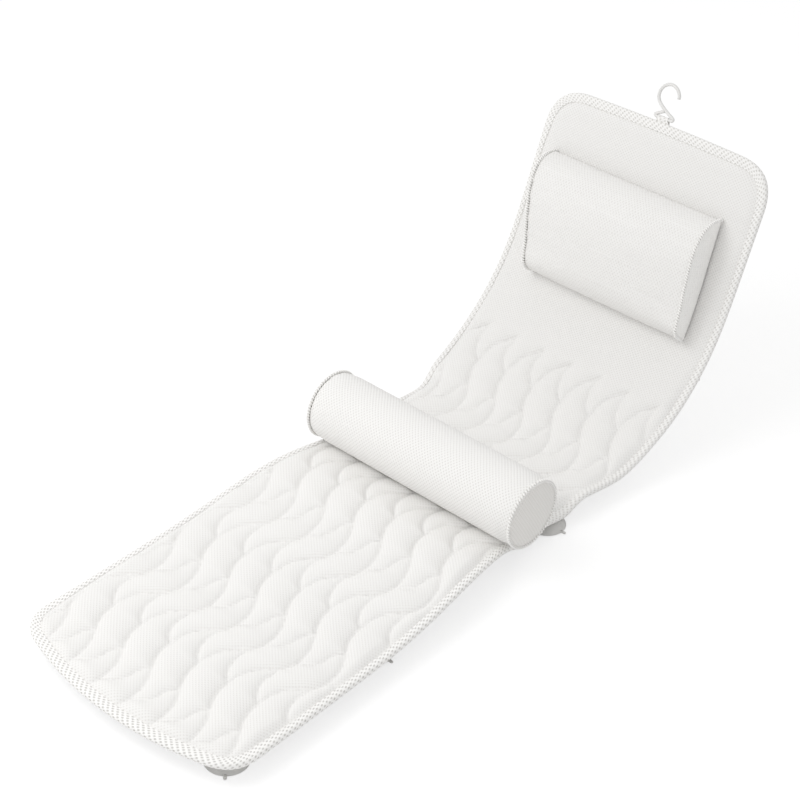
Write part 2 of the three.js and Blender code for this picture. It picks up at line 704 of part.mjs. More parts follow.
function bolsterRing(x, radius, flat) {
  const angle = bolsterSeat.angle;
  return Array.from({ length: BOLSTER_SIDES }, (unused, i) => {
    const turn = 2 * Math.PI * i / BOLSTER_SIDES;
    const across = radius * Math.sin(turn);
    const up = Math.max(radius * Math.cos(turn), -flat);
    return new THREE.Vector3(
      x,
      bolsterCentre.y + across * Math.cos(angle) - up * Math.sin(angle),
      bolsterCentre.z + across * Math.sin(angle) + up * Math.cos(angle),
    );
  });
}

function bolsterDraw(x) {
  const fromEnd = BOLSTER_LENGTH / 2 - Math.abs(x - BOLSTER_ACROSS);
  return BOLSTER_END_DRAW * (1 - THREE.MathUtils.smoothstep(fromEnd, 0, BOLSTER_DRAW_LENGTH));
}

function bolsterStations(half) {
  const inner = half - BOLSTER_DRAW_LENGTH;
  return [-half, -half + BOLSTER_DRAW_LENGTH / 2, -inner, 0, inner, half - BOLSTER_DRAW_LENGTH / 2, half]
    .map((x) => x + BOLSTER_ACROSS);
}

function bolsterCover() {
  const stations = bolsterStations(BOLSTER_LENGTH / 2);
  const outer = stations.map((x) => bolsterRing(x, BOLSTER_RADIUS - bolsterDraw(x), BOLSTER_FLAT));
  const inner = stations.map((x) => bolsterRing(x, BOLSTER_RADIUS - COVER_WALL - bolsterDraw(x),
    BOLSTER_FLAT - COVER_WALL));
  return sleeve(outer, inner);
}

function bolsterPlug(from, to, crownFrom, crownTo) {
  const inset = COVER_WALL + GAP;
  const ring = (x) => bolsterRing(x, BOLSTER_RADIUS - inset - bolsterDraw(x), BOLSTER_FLAT - inset);
  const stations = [from, ...bolsterStations(BOLSTER_LENGTH / 2).filter((x) => x > from && x < to), to];
  const rings = stations.map(ring);
  const points = rings.flat();
  const triangles = [];
  const count = BOLSTER_SIDES;
  for (let k = 0; k + 1 < rings.length; k += 1) {
    for (let i = 0; i < count; i += 1) {
      const j = (i + 1) % count;
      quad(triangles, k * count + i, k * count + j, (k + 1) * count + j, (k + 1) * count + i);
    }
  }
  const first = points.length;
  points.push(new THREE.Vector3(from - crownFrom, bolsterCentre.y, bolsterCentre.z));
  points.push(new THREE.Vector3(to + crownTo, bolsterCentre.y, bolsterCentre.z));
  const end = (rings.length - 1) * count;
  for (let i = 0; i < count; i += 1) {
    const j = (i + 1) % count;
    triangles.push([first, j, i], [first + 1, end + i, end + j]);
  }
  return body(points, triangles);
}

function bolsterCore() {
  const reach = BOLSTER_LENGTH / 2 - COVER_WALL - GAP;
  return bolsterPlug(BOLSTER_ACROSS - reach, BOLSTER_ACROSS + reach, 0, 0);
}

function bolsterDisc(side) {
  const outer = BOLSTER_ACROSS + side * BOLSTER_LENGTH / 2;
  const inner = outer - side * COVER_WALL;
  return side > 0 ? bolsterPlug(inner, outer, 0, DISC_CROWN) : bolsterPlug(outer, inner, DISC_CROWN, 0);
}

function bolsterPiping(side) {
  const x = BOLSTER_ACROSS + side * (BOLSTER_LENGTH / 2 + GAP + PIPING_RADIUS);
  const inset = COVER_WALL / 2 + BOLSTER_END_DRAW;
  const path = bolsterRing(x, BOLSTER_RADIUS - inset, BOLSTER_FLAT - COVER_WALL / 2);
  return closedCord(path, PIPING_RADIUS, PIPING_SIDES);
}

// Head pillow

function pillowProfile() {
  return PILLOW_SHARES.map(([along, up]) => new THREE.Vector2(along * PILLOW_HEIGHT, up * PILLOW_DEPTH));
}

// Moves each point of a closed outline inwards by the same distance from its two sides
function insetOutline(outline, inset) {
  const clockwise = THREE.ShapeUtils.isClockWise(outline) ? 1 : -1;
  const count = outline.length;
  return outline.map((point, i) => {
    const before = point.clone().sub(outline[(i + count - 1) % count]).normalize();
    const after = outline[(i + 1) % count].clone().sub(point).normalize();
    const normalOne = new THREE.Vector2(before.y, -before.x).multiplyScalar(clockwise);
    const normalTwo = new THREE.Vector2(after.y, -after.x).multiplyScalar(clockwise);
    const sum = normalOne.clone().add(normalTwo);
    return point.clone().add(sum.multiplyScalar(inset / (1 + normalOne.dot(normalTwo))));
  });
}

// A point of the pillow: side from -1 to 1 across it, and short millimetres inside its end
function pillowPoint(side, short, along, up) {
  const share = along / PILLOW_HEIGHT;
  const half = (PILLOW_WIDTH_BOTTOM + (PILLOW_WIDTH_TOP - PILLOW_WIDTH_BOTTOM) * share) / 2;
  const middle = PILLOW_SKEW * (0.5 - share);
  const crown = 1 + (PILLOW_CROWN / PILLOW_DEPTH) * (1 - side * side);
  return lay(middle + side * (half - short), PILLOW_START + along, PILLOW_BASE + up * crown);
}

function pillowRing(side, short, inset) {
  return insetOutline(pillowProfile(), inset).map((p) => {
    const base = Math.max(p.y, inset);
    return pillowPoint(side, short, p.x, base);
  });
}

function pillowSides() {
  return Array.from({ length: PILLOW_STATIONS + 1 }, (unused, i) => {
    const even = 2 * i / PILLOW_STATIONS - 1;
    return Math.sin(even * Math.PI / 2);
  });
}

function pillowCover() {
  const outer = pillowSides().map((side) => pillowRing(side, 0, 0));
  const inner = pillowSides().map((side) => pillowRing(side, 0, COVER_WALL));
  return sleeve(outer, inner);
}

function pillowCore() {
  const short = COVER_WALL + GAP;
  const rings = pillowSides().map((side) => pillowRing(side, short, COVER_WALL + GAP));
  return ringLoft(rings, pillowProfile());
}

function pillowGusset(side) {
  const rings = [0, COVER_WALL].map((short) => pillowRing(side, short, COVER_WALL + GAP));
  return ringLoft(rings, pillowProfile());
}

function pillowSeam(side) {
  const path = insetOutline(pillowProfile(), COVER_WALL / 2).slice(1, PILLOW_FRONT_POINTS)
    .map((p) => pillowPoint(side, -GAP - PIPING_RADIUS, p.x, p.y));
  return roundBar(path, PIPING_RADIUS, PILLOW_SEAM_STEPS, PIPING_SIDES);
}

// A round bar along a smooth curve, with flat ends
function roundBar(path, radius, steps, sides) {
  const corners = Array.from({ length: sides }, (unused, i) => {
    const turn = 2 * Math.PI * i / sides;
    return new THREE.Vector2(radius * Math.cos(turn), radius * Math.sin(turn));
  });
  const curve = new THREE.CatmullRomCurve3(path, false, 'centripetal');
  return new THREE.ExtrudeGeometry(new THREE.Shape(corners), { extrudePath: curve, steps });
}

// Strips, hook and tab

function strip(length, width, x, s, bottom) {
  const plate = new THREE.BoxGeometry(length, width, STRIP_THICKNESS).translate(0, 0, STRIP_THICKNESS / 2);
  return settle(plate, x, s, bottom);
}

const HOOK_BAR_ALONG = MAT_LENGTH + HOOK_BAR_REACH;

function hookPoint([x, rise]) {
  return new THREE.Vector3(x, rise, 0);
}

function hookGeometry() {
  const join = [HOOK_EYE_JOIN_X, HOOK_EYE_JOIN_RISE];
  const corner = [-HOOK_EYE_LEFT, 0];
  const barEnd = [HOOK_BAR_END_X, 0];
  const beside = (to) => corner.map((value, i) => value + (to[i] - value) * HOOK_CORNER_SHARE);
  const eye = [join, beside(join), corner, beside([0, 0]), [0, 0], barEnd];
  const stem = [
    barEnd,
    [HOOK_EYE_RIGHT, HOOK_WIRE_RADIUS],
    join,
    [HOOK_STEM_TOP_X, HOOK_STEM_TOP_RISE],
    [-HOOK_LOOP_LEFT, HOOK_LOOP_LEFT_RISE],
    [HOOK_LOOP_TOP_X, HOOK_LOOP_TOP_RISE],
    [HOOK_LOOP_RIGHT_X, HOOK_LOOP_RIGHT_RISE],
    [HOOK_TIP_X, HOOK_TIP_RISE],
  ];
  const eyeBar = roundBar(eye.map(hookPoint), HOOK_WIRE_RADIUS, HOOK_EYE_STEPS, HOOK_SIDES);
  const stemBar = roundBar(stem.map(hookPoint), HOOK_WIRE_RADIUS, HOOK_STEM_STEPS, HOOK_SIDES);
  const knuckle = new THREE.SphereGeometry(HOOK_WIRE_RADIUS * HOOK_KNUCKLE_SHARE, HOOK_SIDES, HOOK_SIDES)
    .translate(HOOK_BAR_END_X, 0, 0);
  const solid = toManifold(stemBar).add(toManifold(eyeBar)).add(toManifold(knuckle));
  return settle(fromManifold(solid), 0, HOOK_BAR_ALONG, 0);
}

// The tab: a doubled band that comes out of the head binding and folds round the hook's bar
function tabGeometry() {
  const inner = HOOK_WIRE_RADIUS + GAP;
  const outer = inner + TAB_THICKNESS;
  const foot = -(HOOK_BAR_REACH - HEAD_BOW - GAP);
  const side = [];
  const arc = (radius, from, to) => {
    for (let i = 0; i <= TAB_ARC_STEPS; i += 1) {
      const turn = from + (to - from) * i / TAB_ARC_STEPS;
      side.push(new THREE.Vector2(radius * Math.cos(turn), radius * Math.sin(turn)));
    }
  };
  side.push(new THREE.Vector2(foot, -outer));
  arc(outer, -Math.PI / 2, Math.PI / 2);
  side.push(new THREE.Vector2(foot, outer), new THREE.Vector2(foot, inner));
  arc(inner, Math.PI / 2, -Math.PI / 2);
  side.push(new THREE.Vector2(foot, -inner));
  const ring = (edge, flare) => side.map((p) => {
    const share = Math.min(Math.max(p.x / foot, 0), 1);
    return new THREE.Vector3(edge + flare * share, p.x, p.y);
  });
  const geometry = ringLoft([ring(TAB_LEFT, -TAB_FLARE), ring(TAB_RIGHT, TAB_FLARE)], side);
  return settle(geometry, 0, HOOK_BAR_ALONG, 0);
}

// Assembly

const assembly = new THREE.Group();

function add(name, geometry, finish) {
  const mesh = new THREE.Mesh(geometry, new THREE.MeshStandardMaterial(COLOURS[finish]));
  mesh.name = name;
  assembly.add(mesh);
}

for (const section of ['foot', 'seat', 'back']) {
  const base = layer(section, [[LAYER_INSET, 0, BASE_BOTTOM], [LAYER_INSET, 0, BASE_TOP]]);
  const spacer = layer(section, [[LAYER_INSET, 0, SPACER_BOTTOM], [LAYER_INSET, 0, SPACER_TOP]]);
  add(`${section}_base_mesh`, drilled(base, section, CUP_NECK_RADIUS + GAP), 'mesh');
  add(`${section}_spacer_core`, drilled(spacer, section, CUP_HEAD_RADIUS + GAP), 'mesh');
}
add('foot_quilted_top', quiltedTop('foot'), 'mesh');
add('seat_quilted_top', quiltedTop('seat'), 'mesh');
add('back_top_mesh', layer('back', [
  [LAYER_INSET, 0, TOP_BOTTOM], [LAYER_INSET, 0, TOP_EDGE], [GAP, 1, TOP_EDGE], [GAP, 1, HEAD_MESH_TOP],
]), 'mesh');
add('foot_binding', binding('foot', 0), 'binding');
add('seat_binding_left', binding('seat', -1), 'binding');
add('seat_binding_right', binding('seat', 1), 'binding');
add('back_binding', binding('back', 0), 'binding');

const cup = cupGeometry();
for (const { name, x, s } of cupPlaces()) {
  const turn = name === 'cup_foot_end_right' ? THREE.MathUtils.degToRad(CUP_CORNER_NIB_DEG) : 0;
  add(name, settle(cup.clone().rotateZ(turn), x, s, -CUP_DEPTH), 'cup');
}

add('seat_loop_strip', strip(SEAT_STRIP_LENGTH, SEAT_STRIP_WIDTH, BOLSTER_ACROSS, BOLSTER_ALONG,
  STRIP_LEVEL.seatLoop), 'strip');
add('bolster_hook_strip', strip(SEAT_STRIP_LENGTH, SEAT_STRIP_WIDTH, BOLSTER_ACROSS, BOLSTER_ALONG,
  STRIP_LEVEL.seatHook), 'strip');
add('bolster_cover', bolsterCover(), 'mesh');
add('bolster_core', bolsterCore(), 'foam');
add('bolster_disc_left', bolsterDisc(-1), 'mesh');
add('bolster_disc_right', bolsterDisc(1), 'mesh');
add('bolster_piping_left', bolsterPiping(-1), 'bead');
add('bolster_piping_right', bolsterPiping(1), 'bead');

add('back_loop_strip', strip(BACK_STRIP_LENGTH, BACK_STRIP_WIDTH, 0, BACK_STRIP_ALONG,
  STRIP_LEVEL.backLoop), 'strip');
add('pillow_hook_strip', strip(BACK_STRIP_LENGTH, BACK_STRIP_WIDTH, 0, BACK_STRIP_ALONG,
  STRIP_LEVEL.backHook), 'strip');
add('pillow_cover', pillowCover(), 'mesh');
add('pillow_core', pillowCore(), 'foam');
add('pillow_gusset_left', pillowGusset(-1), 'mesh');
add('pillow_gusset_right', pillowGusset(1), 'mesh');
add('pillow_seam_left', pillowSeam(-1), 'bead');
add('pillow_seam_right', pillowSeam(1), 'bead');

add('hanging_tab', tabGeometry(), 'binding');
add('hook', hookGeometry(), 'hook');

// The origin is under the middle of the whole, on what it stands on
const box = new THREE.Box3().setFromObject(assembly);
const middle = box.getCenter(new THREE.Vector3());
assembly.position.set(-middle.x, -middle.y, -box.min.z);

export default assembly;
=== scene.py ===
import math

import bpy
import numpy as np
from mathutils import Matrix, Vector


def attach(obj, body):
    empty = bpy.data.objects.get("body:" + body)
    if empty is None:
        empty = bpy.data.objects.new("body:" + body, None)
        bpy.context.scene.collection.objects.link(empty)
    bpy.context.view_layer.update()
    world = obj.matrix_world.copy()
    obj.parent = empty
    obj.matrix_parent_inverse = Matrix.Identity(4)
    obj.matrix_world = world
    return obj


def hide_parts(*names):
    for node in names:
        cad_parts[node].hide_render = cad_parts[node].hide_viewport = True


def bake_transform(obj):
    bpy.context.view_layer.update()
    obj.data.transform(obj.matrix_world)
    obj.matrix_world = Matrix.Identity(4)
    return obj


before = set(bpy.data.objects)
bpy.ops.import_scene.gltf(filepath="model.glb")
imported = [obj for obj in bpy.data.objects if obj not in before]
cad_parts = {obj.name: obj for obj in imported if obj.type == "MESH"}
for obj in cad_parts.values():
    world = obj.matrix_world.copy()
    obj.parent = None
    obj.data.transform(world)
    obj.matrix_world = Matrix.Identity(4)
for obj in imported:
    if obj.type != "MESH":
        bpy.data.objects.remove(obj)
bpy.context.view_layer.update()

# Lengths are in millimetres until a mesh is made. A place on the mat is x across, s along, n square to it.
METRE = 1000
SHIFT = (-1.5, -526.547, 30.0927)

# The mat's outline and side line
MAT_WIDTH = 390
MAT_LENGTH = 1276
WAIST_SHARE, WAIST_CENTRE, WAIST_SPREAD = 0.13, 613, 170
FOOT_BOW, FOOT_CORNER = 36, 40
HEAD_BOW, HEAD_CORNER = 4, 62
HUMP_HEIGHT, HUMP_CENTRE, HUMP_SPREAD = 17.8, 455, 123
BEND_START, BEND_END, BEND_ANGLE_DEG, BEND_EASE = 714, 1061, 68, 16
SPINE_STEP = 2
MAT_SPLIT, SPLIT_GAP = 545, 0.1
CORNER_EASE = 1.04
NO_LIMIT = 999

# The mesh of the mat's two halves
GRID_ACROSS, GRID_ALONG, UNDERSIDE_COLUMNS = 2.1, 2.4, 40
BOW_FADE = 190

# How far the mat's two edges hang at places along it; from HANG_START outwards across it
HANG_START, HANG_STEP = 148, 2
HANG_RIGHT = np.array([
    (515, 0), (540, 5), (560, 12), (578, 14.5), (592, 13), (606, 8), (622, 7), (650, 10), (667, 10), (681, 3),
    (697, -3), (714, -3), (755, 2.5), (775, 5), (800, 4), (840, 0),
])
HANG_LEFT = np.array([
    (560, 0), (600, 3), (680, 3), (700, 3), (725, 9), (747, 14.5), (763, 15), (777, 9), (789, 2), (802, 0),
])

# Levels over the mat's middle layer
UNDERSIDE = -3.1
STITCH_LEVEL = 2.9
PLAIN_LEVEL = 6.1
PUFF_HEIGHT = 8.4
PUFF_LOSS, PUFF_LOSS_SPAN = 0.12, (600, 840)
PUFF_WIDTH_POWER = 0.7
PUFF_ROUNDNESS = 0.55
PUFF_EDGE, EDGE_TUCK = 15, 1
QUILTING_END = 895
QUILTING_FADE = 7
SHOULDER_LEVEL = 10.5
SHOULDER_LENGTH = 80

# Where painted shade on the quilted cloth starts and ends: darker towards the head, where the lamp's light
# falls off
PAINTED_SHADE_FROM, PAINTED_SHADE_TO = 650, 950

# Quilting seams
SEAM_PITCH = 52.45
SEAM_REPEAT = 184
FIRST_TIP_ALONG = 157.6
FIRST_TIP_ACROSS = -155.2
SEAM_LEAST_SHARE = 0.03
WAVE_SHARES = np.array([
    (0.144, 0.219), (0.278, 0.133), (0.389, -0.086), (0.533, -0.381), (0.706, -0.476),
    (0.861, -0.371), (0.944, -0.143), (1.0, 0.067), (1.056, 0.162),
])
LEAF_OPENS, LEAF_FULL, LEAF_PARTS = 0.111, 0.422, 0.656
LEAF_OPEN_SWELL, LEAF_CLOSE_SWELL = 0.08, 0.05

# Binding
BAND_END_COVER, BAND_SIDE_COVER = 14, 10
BAND_OVERLAP = 3
BAND_TAPER = (30, 110)
FOOT_SIDE_STEPS, HEAD_SIDE_STEPS, BOW_STEPS, CORNER_STEPS = 130, 170, 44, 16

# The binding's section, from its inner edge over the top, round the outside and back below: the share of its
# width, how far further inwards, and the level
BAND_SECTION = [
    (1, 0, 2.6), (1, 0.3, 4.0), (1, -0.6, 5.0), (1, -1.8, 5.1), (1, -2.9, 4.5), (1, -4.2, 4.9),
    (0, 4.6, 5.0), (0, 3.0, 4.6), (0, 1.4, 3.7), (0, 0.4, 2.2), (0, 0, 0.6),
    (0, 0, -0.6), (0, 0.4, -2.2), (0, 1.4, -3.7), (0, 3.2, -4.7), (1, -3, -5), (1, 0, -4.6), (1, 0, -2.6),
]

# Bolster
BOLSTER_RADIUS = 52.5
BOLSTER_LENGTH = 362
BOLSTER_ALONG = 544
BOLSTER_ACROSS = 12
BOLSTER_FLAT = 51.4
BOLSTER_BASE = 8.6
BOLSTER_DRAW, BOLSTER_DRAW_LENGTH, BOLSTER_DRAW_POWER = 2.4, 30, 1.6
BOLSTER_SHRINK = 1.2
BOLSTER_LEFT_EXTRA = 3
BOLSTER_ROOM = 1
BOLSTER_RINGS, BOLSTER_SIDES = 120, 120
DISC_RADII = np.array([47.4, 47.2, 46.6, 45.8, 45.2, 44.6, 43, 38, 30, 21, 12, 5, 0.01])
DISC_CROWN = np.array([-1.2, 0.4, 1.2, 1.1, 0.7, 0.9, 1.5, 2.6, 3.4, 3.9, 4.1, 4.2, 4.2])
DISC_SIDES = 96
BEAD_RADIUS, BEAD_STEPS = 49.3, 420
BEAD_OUT_RIGHT, BEAD_OUT_LEFT = 0.2, BOLSTER_LEFT_EXTRA - 0.3

# Head pillow
PILLOW_START = 1000
PILLOW_HEIGHT = 184
PILLOW_DEPTH = 53.9
PILLOW_BASE = 9.2
PILLOW_WIDTH_TOP, PILLOW_WIDTH_BOTTOM = 301, 280
PILLOW_SKEW = 18
PILLOW_CROWN = 4
PILLOW_SHRINK, PILLOW_SHRINK_ABOVE = 0.8, 1
PILLOW_RINGS, PILLOW_BACK_POINTS = 70, 38
PILLOW_STEP, PILLOW_WEAVE_STEP = 4, 2
PILLOW_PROFILE = np.array([
    (0, 0), (0, 0.2), (0.012, 0.42), (0.05, 0.62), (0.12, 0.7), (0.25, 0.765), (0.4, 0.87),
    (0.55, 0.95), (0.69, 1), (0.81, 0.93), (0.9, 0.78), (0.965, 0.5), (1, 0.12), (1, 0),
])

# The head pillow's end panels
GUSSET_ROWS, GUSSET_COLUMNS = 90, 26
GUSSET_INSET, GUSSET_THICKNESS = 0.2, 0.8
GUSSET_MARGIN, GUSSET_LEAST_HEIGHT, GUSSET_EASE = 0.6, 1.5, 30
GUSSET_BULGE = 1.6
GUSSET_FOLD, GUSSET_FOLD_AT, GUSSET_FOLD_SPREAD = 0.9, 0.55, 0.035

# A direction that no cord starts along
ASKEW = (0.31, 0.22, 0.92)

# Overlock threads
THREAD_RADIUS, THREAD_SIDES = 2.1, 8
# Where painted shade fills the gap between stitches, as heights of the thread's wave
THREAD_GAP_SHADE = (-0.95, 0.1)
BEAD_THREAD_PITCH, BEAD_TWIST = 4.6, 0.45
SEAM_THREAD_PITCH, SEAM_TWIST = 4.0, 0.5
SEAM_STEP, SEAM_FIRST_POINT = 0.8, 6
SEAM_RIGHT_IN, SEAM_RIGHT_UP = 0.4, -0.3
SEAM_LEFT_IN, SEAM_LEFT_UP = 2.0, 0.2

# Cushions filled with air as cloth
VOXEL = 4.5
AIR_PRESSURE, AIR_FRAMES = 4.0, 20
NO_MOVE = 1e-9
BOLSTER_MOST, PILLOW_MOST = 5, 6
BOLSTER_HELD_END, BOLSTER_HELD_BELOW, PILLOW_HELD = 2, 5, 3

# Hook-and-loop tapes: length and width, and the level of each one's underside
TAPE_THICKNESS, TAPE_CORNER, TAPE_CORNER_POINTS = 1.1, 3, 5
BOLSTER_TAPE, SEAT_TAPE_LEVEL, BOLSTER_TAPE_LEVEL = (250, 25), 5.8, 7.2
PILLOW_TAPE, BACK_TAPE_LEVEL, PILLOW_TAPE_LEVEL = (200, 40), 6.4, 7.8
PILLOW_TAPE_ALONG = 1130
TAPE_ROOM, TAPE_CLEARANCE = 4, 0.3

# Cups
CUP_DEPTH = 30
CUP_SIDE_X = 147
CUP_ROWS = {"foot_end": 31, "foot_inner": 287, "seat": 650, "back_low": 960, "head": 1225}
CUP_CENTRES = {"foot_centre": 159, "seat_centre": 720, "back_centre": 1095}
CUP_SIDES, NIB_SIDES = 64, 14

# A cup's outline as radius and height, from the middle of its hollow round the rim to the top of its head
CUP_PROFILE = np.array([
    (0, 13.4), (9, 12.6), (16.4, 9), (22, 4.4), (26.5, 0.2), (27.3, 0), (28.9, 0), (29.5, 0.5),
    (29.2, 1.3), (27, 4.0), (22.4, 9.3), (16, 13.0), (9.5, 15.2), (5.8, 16.2), (4.4, 17.6), (4.4, 28.9),
    (8, 28.9), (8, 29.6), (5.6, 30.9), (0, 30.9),
])

# The pull nib along its length: distance out, height, half the width and half the thickness
NIB_SECTIONS = np.array([
    (27.5, 1.5, 2.4, 1.0), (30, 1.6, 2.4, 1.3), (32.5, 1.7, 2.3, 1.5),
    (35, 1.9, 2.2, 1.5), (36.2, 1.9, 1.1, 0.8),
])
NIB_TURNS_DEG = {"cup_foot_end_right": -48, "cup_head_right": 180}

# Hook and tab, from the hook's bar at this distance from the head end
BAR_OUT = 10
HOOK_RADIUS, HOOK_SIDES, HOOK_STEP = 2.5, 14, 1
HOOK_EYE = [(5.5, 0.4), (0, 0), (-12, -0.2), (-18.4, 0.4), (-19.6, 2.4), (-16, 5.0), (-6.8, 10.4)]
HOOK_STEM = [
    (5.5, 0.4), (9, 0.6), (10.9, 2.6), (8.1, 5.2), (0.6, 8.6), (-7.4, 12.8), (-16, 18.2), (-20.8, 22.8),
    (-24.1, 30), (-22.8, 39.5), (-16.2, 47.2), (-6.7, 49.6), (2.8, 45.8), (8.4, 38.6), (9.2, 33.6),
]
TAB_START, TAB_ROWS, TAB_TURNS, TAB_COLUMNS = -11, 12, 12, 25
TAB_APART, TAB_OPENING, TAB_OPENS = 1, 1.8, (-7.5, -1)
TAB_BAR_RADIUS = 2.8
TAB_LEFT, TAB_WIDTH = -13, 17
TAB_FLARE_LEFT, TAB_FLARE_WIDTH, TAB_FLARE_LENGTH = 4, 8, 8
TAB_RIPPLE, TAB_RIPPLES, TAB_LEAST_RIPPLE = 0.45, 4, 0.4
TAB_WEAVE_STEP, TAB_THICKNESS = 0.9, 1.0

HALF_WIDTH = MAT_WIDTH / 2


def smoothstep(value, low, high):
    t = np.clip((value - low) / (high - low), 0, 1)
    return t * t * (3 - 2 * t)


# The mat's side line

def eased_ramp(distance):
    """Close to the distance above zero and to nothing below, with a smooth start."""
    return BEND_EASE * np.log1p(np.exp(distance / BEND_EASE))


def spine_angle(s):
    """How far the mat leans at places along it."""
    s = np.asarray(s, float)
    from_hump = (s - HUMP_CENTRE) / HUMP_SPREAD
    slope = -2 * from_hump * np.exp(-from_hump ** 2) * HUMP_HEIGHT / HUMP_SPREAD
    turned = (eased_ramp(s - BEND_START) - eased_ramp(s - BEND_END)) / (BEND_END - BEND_START)
    return np.arctan(slope) + math.radians(BEND_ANGLE_DEG) * turned


stations = np.arange(0, MAT_LENGTH, SPINE_STEP)
steps = spine_angle(stations + SPINE_STEP / 2)
SPINE_Y = np.concatenate([[0], np.cumsum(SPINE_STEP * np.cos(steps))])
SPINE_Z = np.concatenate([[0], np.cumsum(SPINE_STEP * np.sin(steps))])


def lay(x, s, n):
    """Points in the frame, in metres, for places on the mat."""
    x, s, n = np.broadcast_arrays(np.asarray(x, float), np.asarray(s, float), np.asarray(n, float))
    index = np.clip(np.floor(s / SPINE_STEP).astype(int), 0, len(SPINE_Y) - 1)
    angle = spine_angle(s)
    rest = s - index * SPINE_STEP
    y = SPINE_Y[index] + rest * np.cos(angle) - n * np.sin(angle)
    z = SPINE_Z[index] + rest * np.sin(angle) + n * np.cos(angle)
    return np.stack([x + SHIFT[0], y + SHIFT[1], z + SHIFT[2]], -1) / METRE


def mat_directions(s):
    """The way along the mat and the way square to it, at a place along it."""
    angle = float(spine_angle(s))
    return np.array((0, math.cos(angle), math.sin(angle))), np.array((0, -math.sin(angle), math.cos(angle)))


def half_width(s):
    return HALF_WIDTH * (1 - WAIST_SHARE * np.exp(-((s - WAIST_CENTRE) / WAIST_SPREAD) ** 2))


def smooth_path(points, step):
    """A smooth line through the points, cut to about one step."""
    points = np.asarray(points, float)
    padded = np.concatenate([[2 * points[0] - points[1]], points, [2 * points[-1] - points[-2]]])
    out = []
    for k in range(1, len(padded) - 2):
        p0, p1, p2, p3 = padded[k - 1:k + 3]
        count = max(2, int(np.linalg.norm(p2 - p1) / step))
        t = np.linspace(0, 1, count, endpoint=False)[:, None]
        out.append(0.5 * (2 * p1 + (p2 - p0) * t + (2 * p0 - 5 * p1 + 4 * p2 - p3) * t ** 2
                          + (3 * p1 - p0 - 3 * p2 + p3) * t ** 3))
    out.append(points[-1:])
    return np.concatenate(out)


HANGS = [(side, smooth_path(table, HANG_STEP)) for side, table in ((1, HANG_RIGHT), (-1, HANG_LEFT))]


def drape(x, s, n):
    """Like lay, with the edges of the seat hanging a little between its cups."""
    points = lay(x, s, n)
    x, s = np.broadcast_arrays(np.asarray(x, float), np.asarray(s, float))
    for side, line in HANGS:
        outwards = smoothstep(side * x, HANG_START, half_width(s))
        points[..., 2] -= np.interp(s, line[:, 0], line[:, 1]) * outwards / METRE
    return points


def cover_width(s):
    from_end = np.minimum(s, MAT_LENGTH - s)
    return BAND_END_COVER + (BAND_SIDE_COVER - BAND_END_COVER) * smoothstep(from_end, *BAND_TAPER)


# Meshes

def shade_smooth(mesh):
    for polygon in mesh.polygons:
        polygon.use_smooth = True


def make_mesh(name, points, faces, weave=None):
    mesh = bpy.data.meshes.new(name)
    mesh.from_pydata(points.reshape(-1, 3).tolist(), [], faces)
    mesh.update()
    shade_smooth(mesh)
    if weave is not None:
        set_weave(mesh, weave)
    piece = bpy.data.objects.new(name, mesh)
    bpy.context.scene.collection.objects.link(piece)
    return piece


def set_weave(mesh, weave):
    """Keeps for each point where it lies on the flat cloth, in millimetres."""
    flat = weave.reshape(-1, 2)
    full = np.concatenate([flat, np.zeros((len(flat), 1))], 1)
    attribute = mesh.attributes.new("weave", "FLOAT_VECTOR", "POINT")
    attribute.data.foreach_set("vector", full.astype(np.float32).ravel())


def grid_faces(rows, columns, start=0, flip=False, around=False):
    faces = []
    last = columns if around else columns - 1
    for k in range(rows - 1):
        for i in range(last):
            j = (i + 1) % columns
            a, b = start + k * columns, start + (k + 1) * columns
            face = (a + i, a + j, b + j, b + i)
            faces.append(face[::-1] if flip else face)
    return faces


def tube_faces(rows, columns, flip=False):
    """The walls and both ends of a tube that is made of rings."""
    first = tuple(range(columns))
    last = tuple(range((rows - 1) * columns, rows * columns))
    ends = [first, last[::-1]] if flip else [first[::-1], last]
    return grid_faces(rows, columns, flip=flip, around=True) + ends


def thicken(piece, thickness):
    solid = piece.modifiers.new("thickness", "SOLIDIFY")
    solid.thickness = thickness / METRE
    solid.offset = 0
    return piece


def square_to(path, closed):
    """Two directions square to a path at each of its points. They turn as little as they can along it."""
    ahead = np.roll(path, -1, 0) - np.roll(path, 1, 0)
    if not closed:
        ahead[0] = path[1] - path[0]
        ahead[-1] = path[-1] - path[-2]
    ahead /= np.linalg.norm(ahead, axis=1)[:, None]
    normal = np.zeros_like(path)
    side = np.cross(ahead[0], ASKEW)
    for k in range(len(path)):
        side = side - ahead[k] * (side @ ahead[k])
        side /= np.linalg.norm(side)
        normal[k] = side
    return normal, np.cross(ahead, normal)


def tube(name, path, radius, sides, twist=0.0, pitch=1.0, closed=False):
    """A round cord along a path in metres. With a twist its outline swells once in each pitch."""
    path = np.asarray(path, float)
    normal, other = square_to(path, closed)
    length = np.concatenate([[0], np.cumsum(np.linalg.norm(np.diff(path, axis=0), axis=1))]) * METRE
    turns = np.linspace(0, 2 * math.pi, sides, endpoint=False)
    swell = 1 + twist * np.cos(2 * math.pi * length[:, None] / pitch + turns[None])
    ring = np.cos(turns)[None, :, None] * normal[:, None] + np.sin(turns)[None, :, None] * other[:, None]
    points = path[:, None] + ring * (swell * radius / METRE)[..., None]
    if closed:
        end = (len(path) - 1) * sides
        faces = grid_faces(len(path), sides, around=True)
        faces += [(end + i, end + (i + 1) % sides, (i + 1) % sides, i) for i in range(sides)]
    else:
        faces = tube_faces(len(path), sides)
    weave = np.stack(np.broadcast_arrays(length[:, None], turns[None] * radius), -1)
    return make_mesh(name, points, faces, weave)


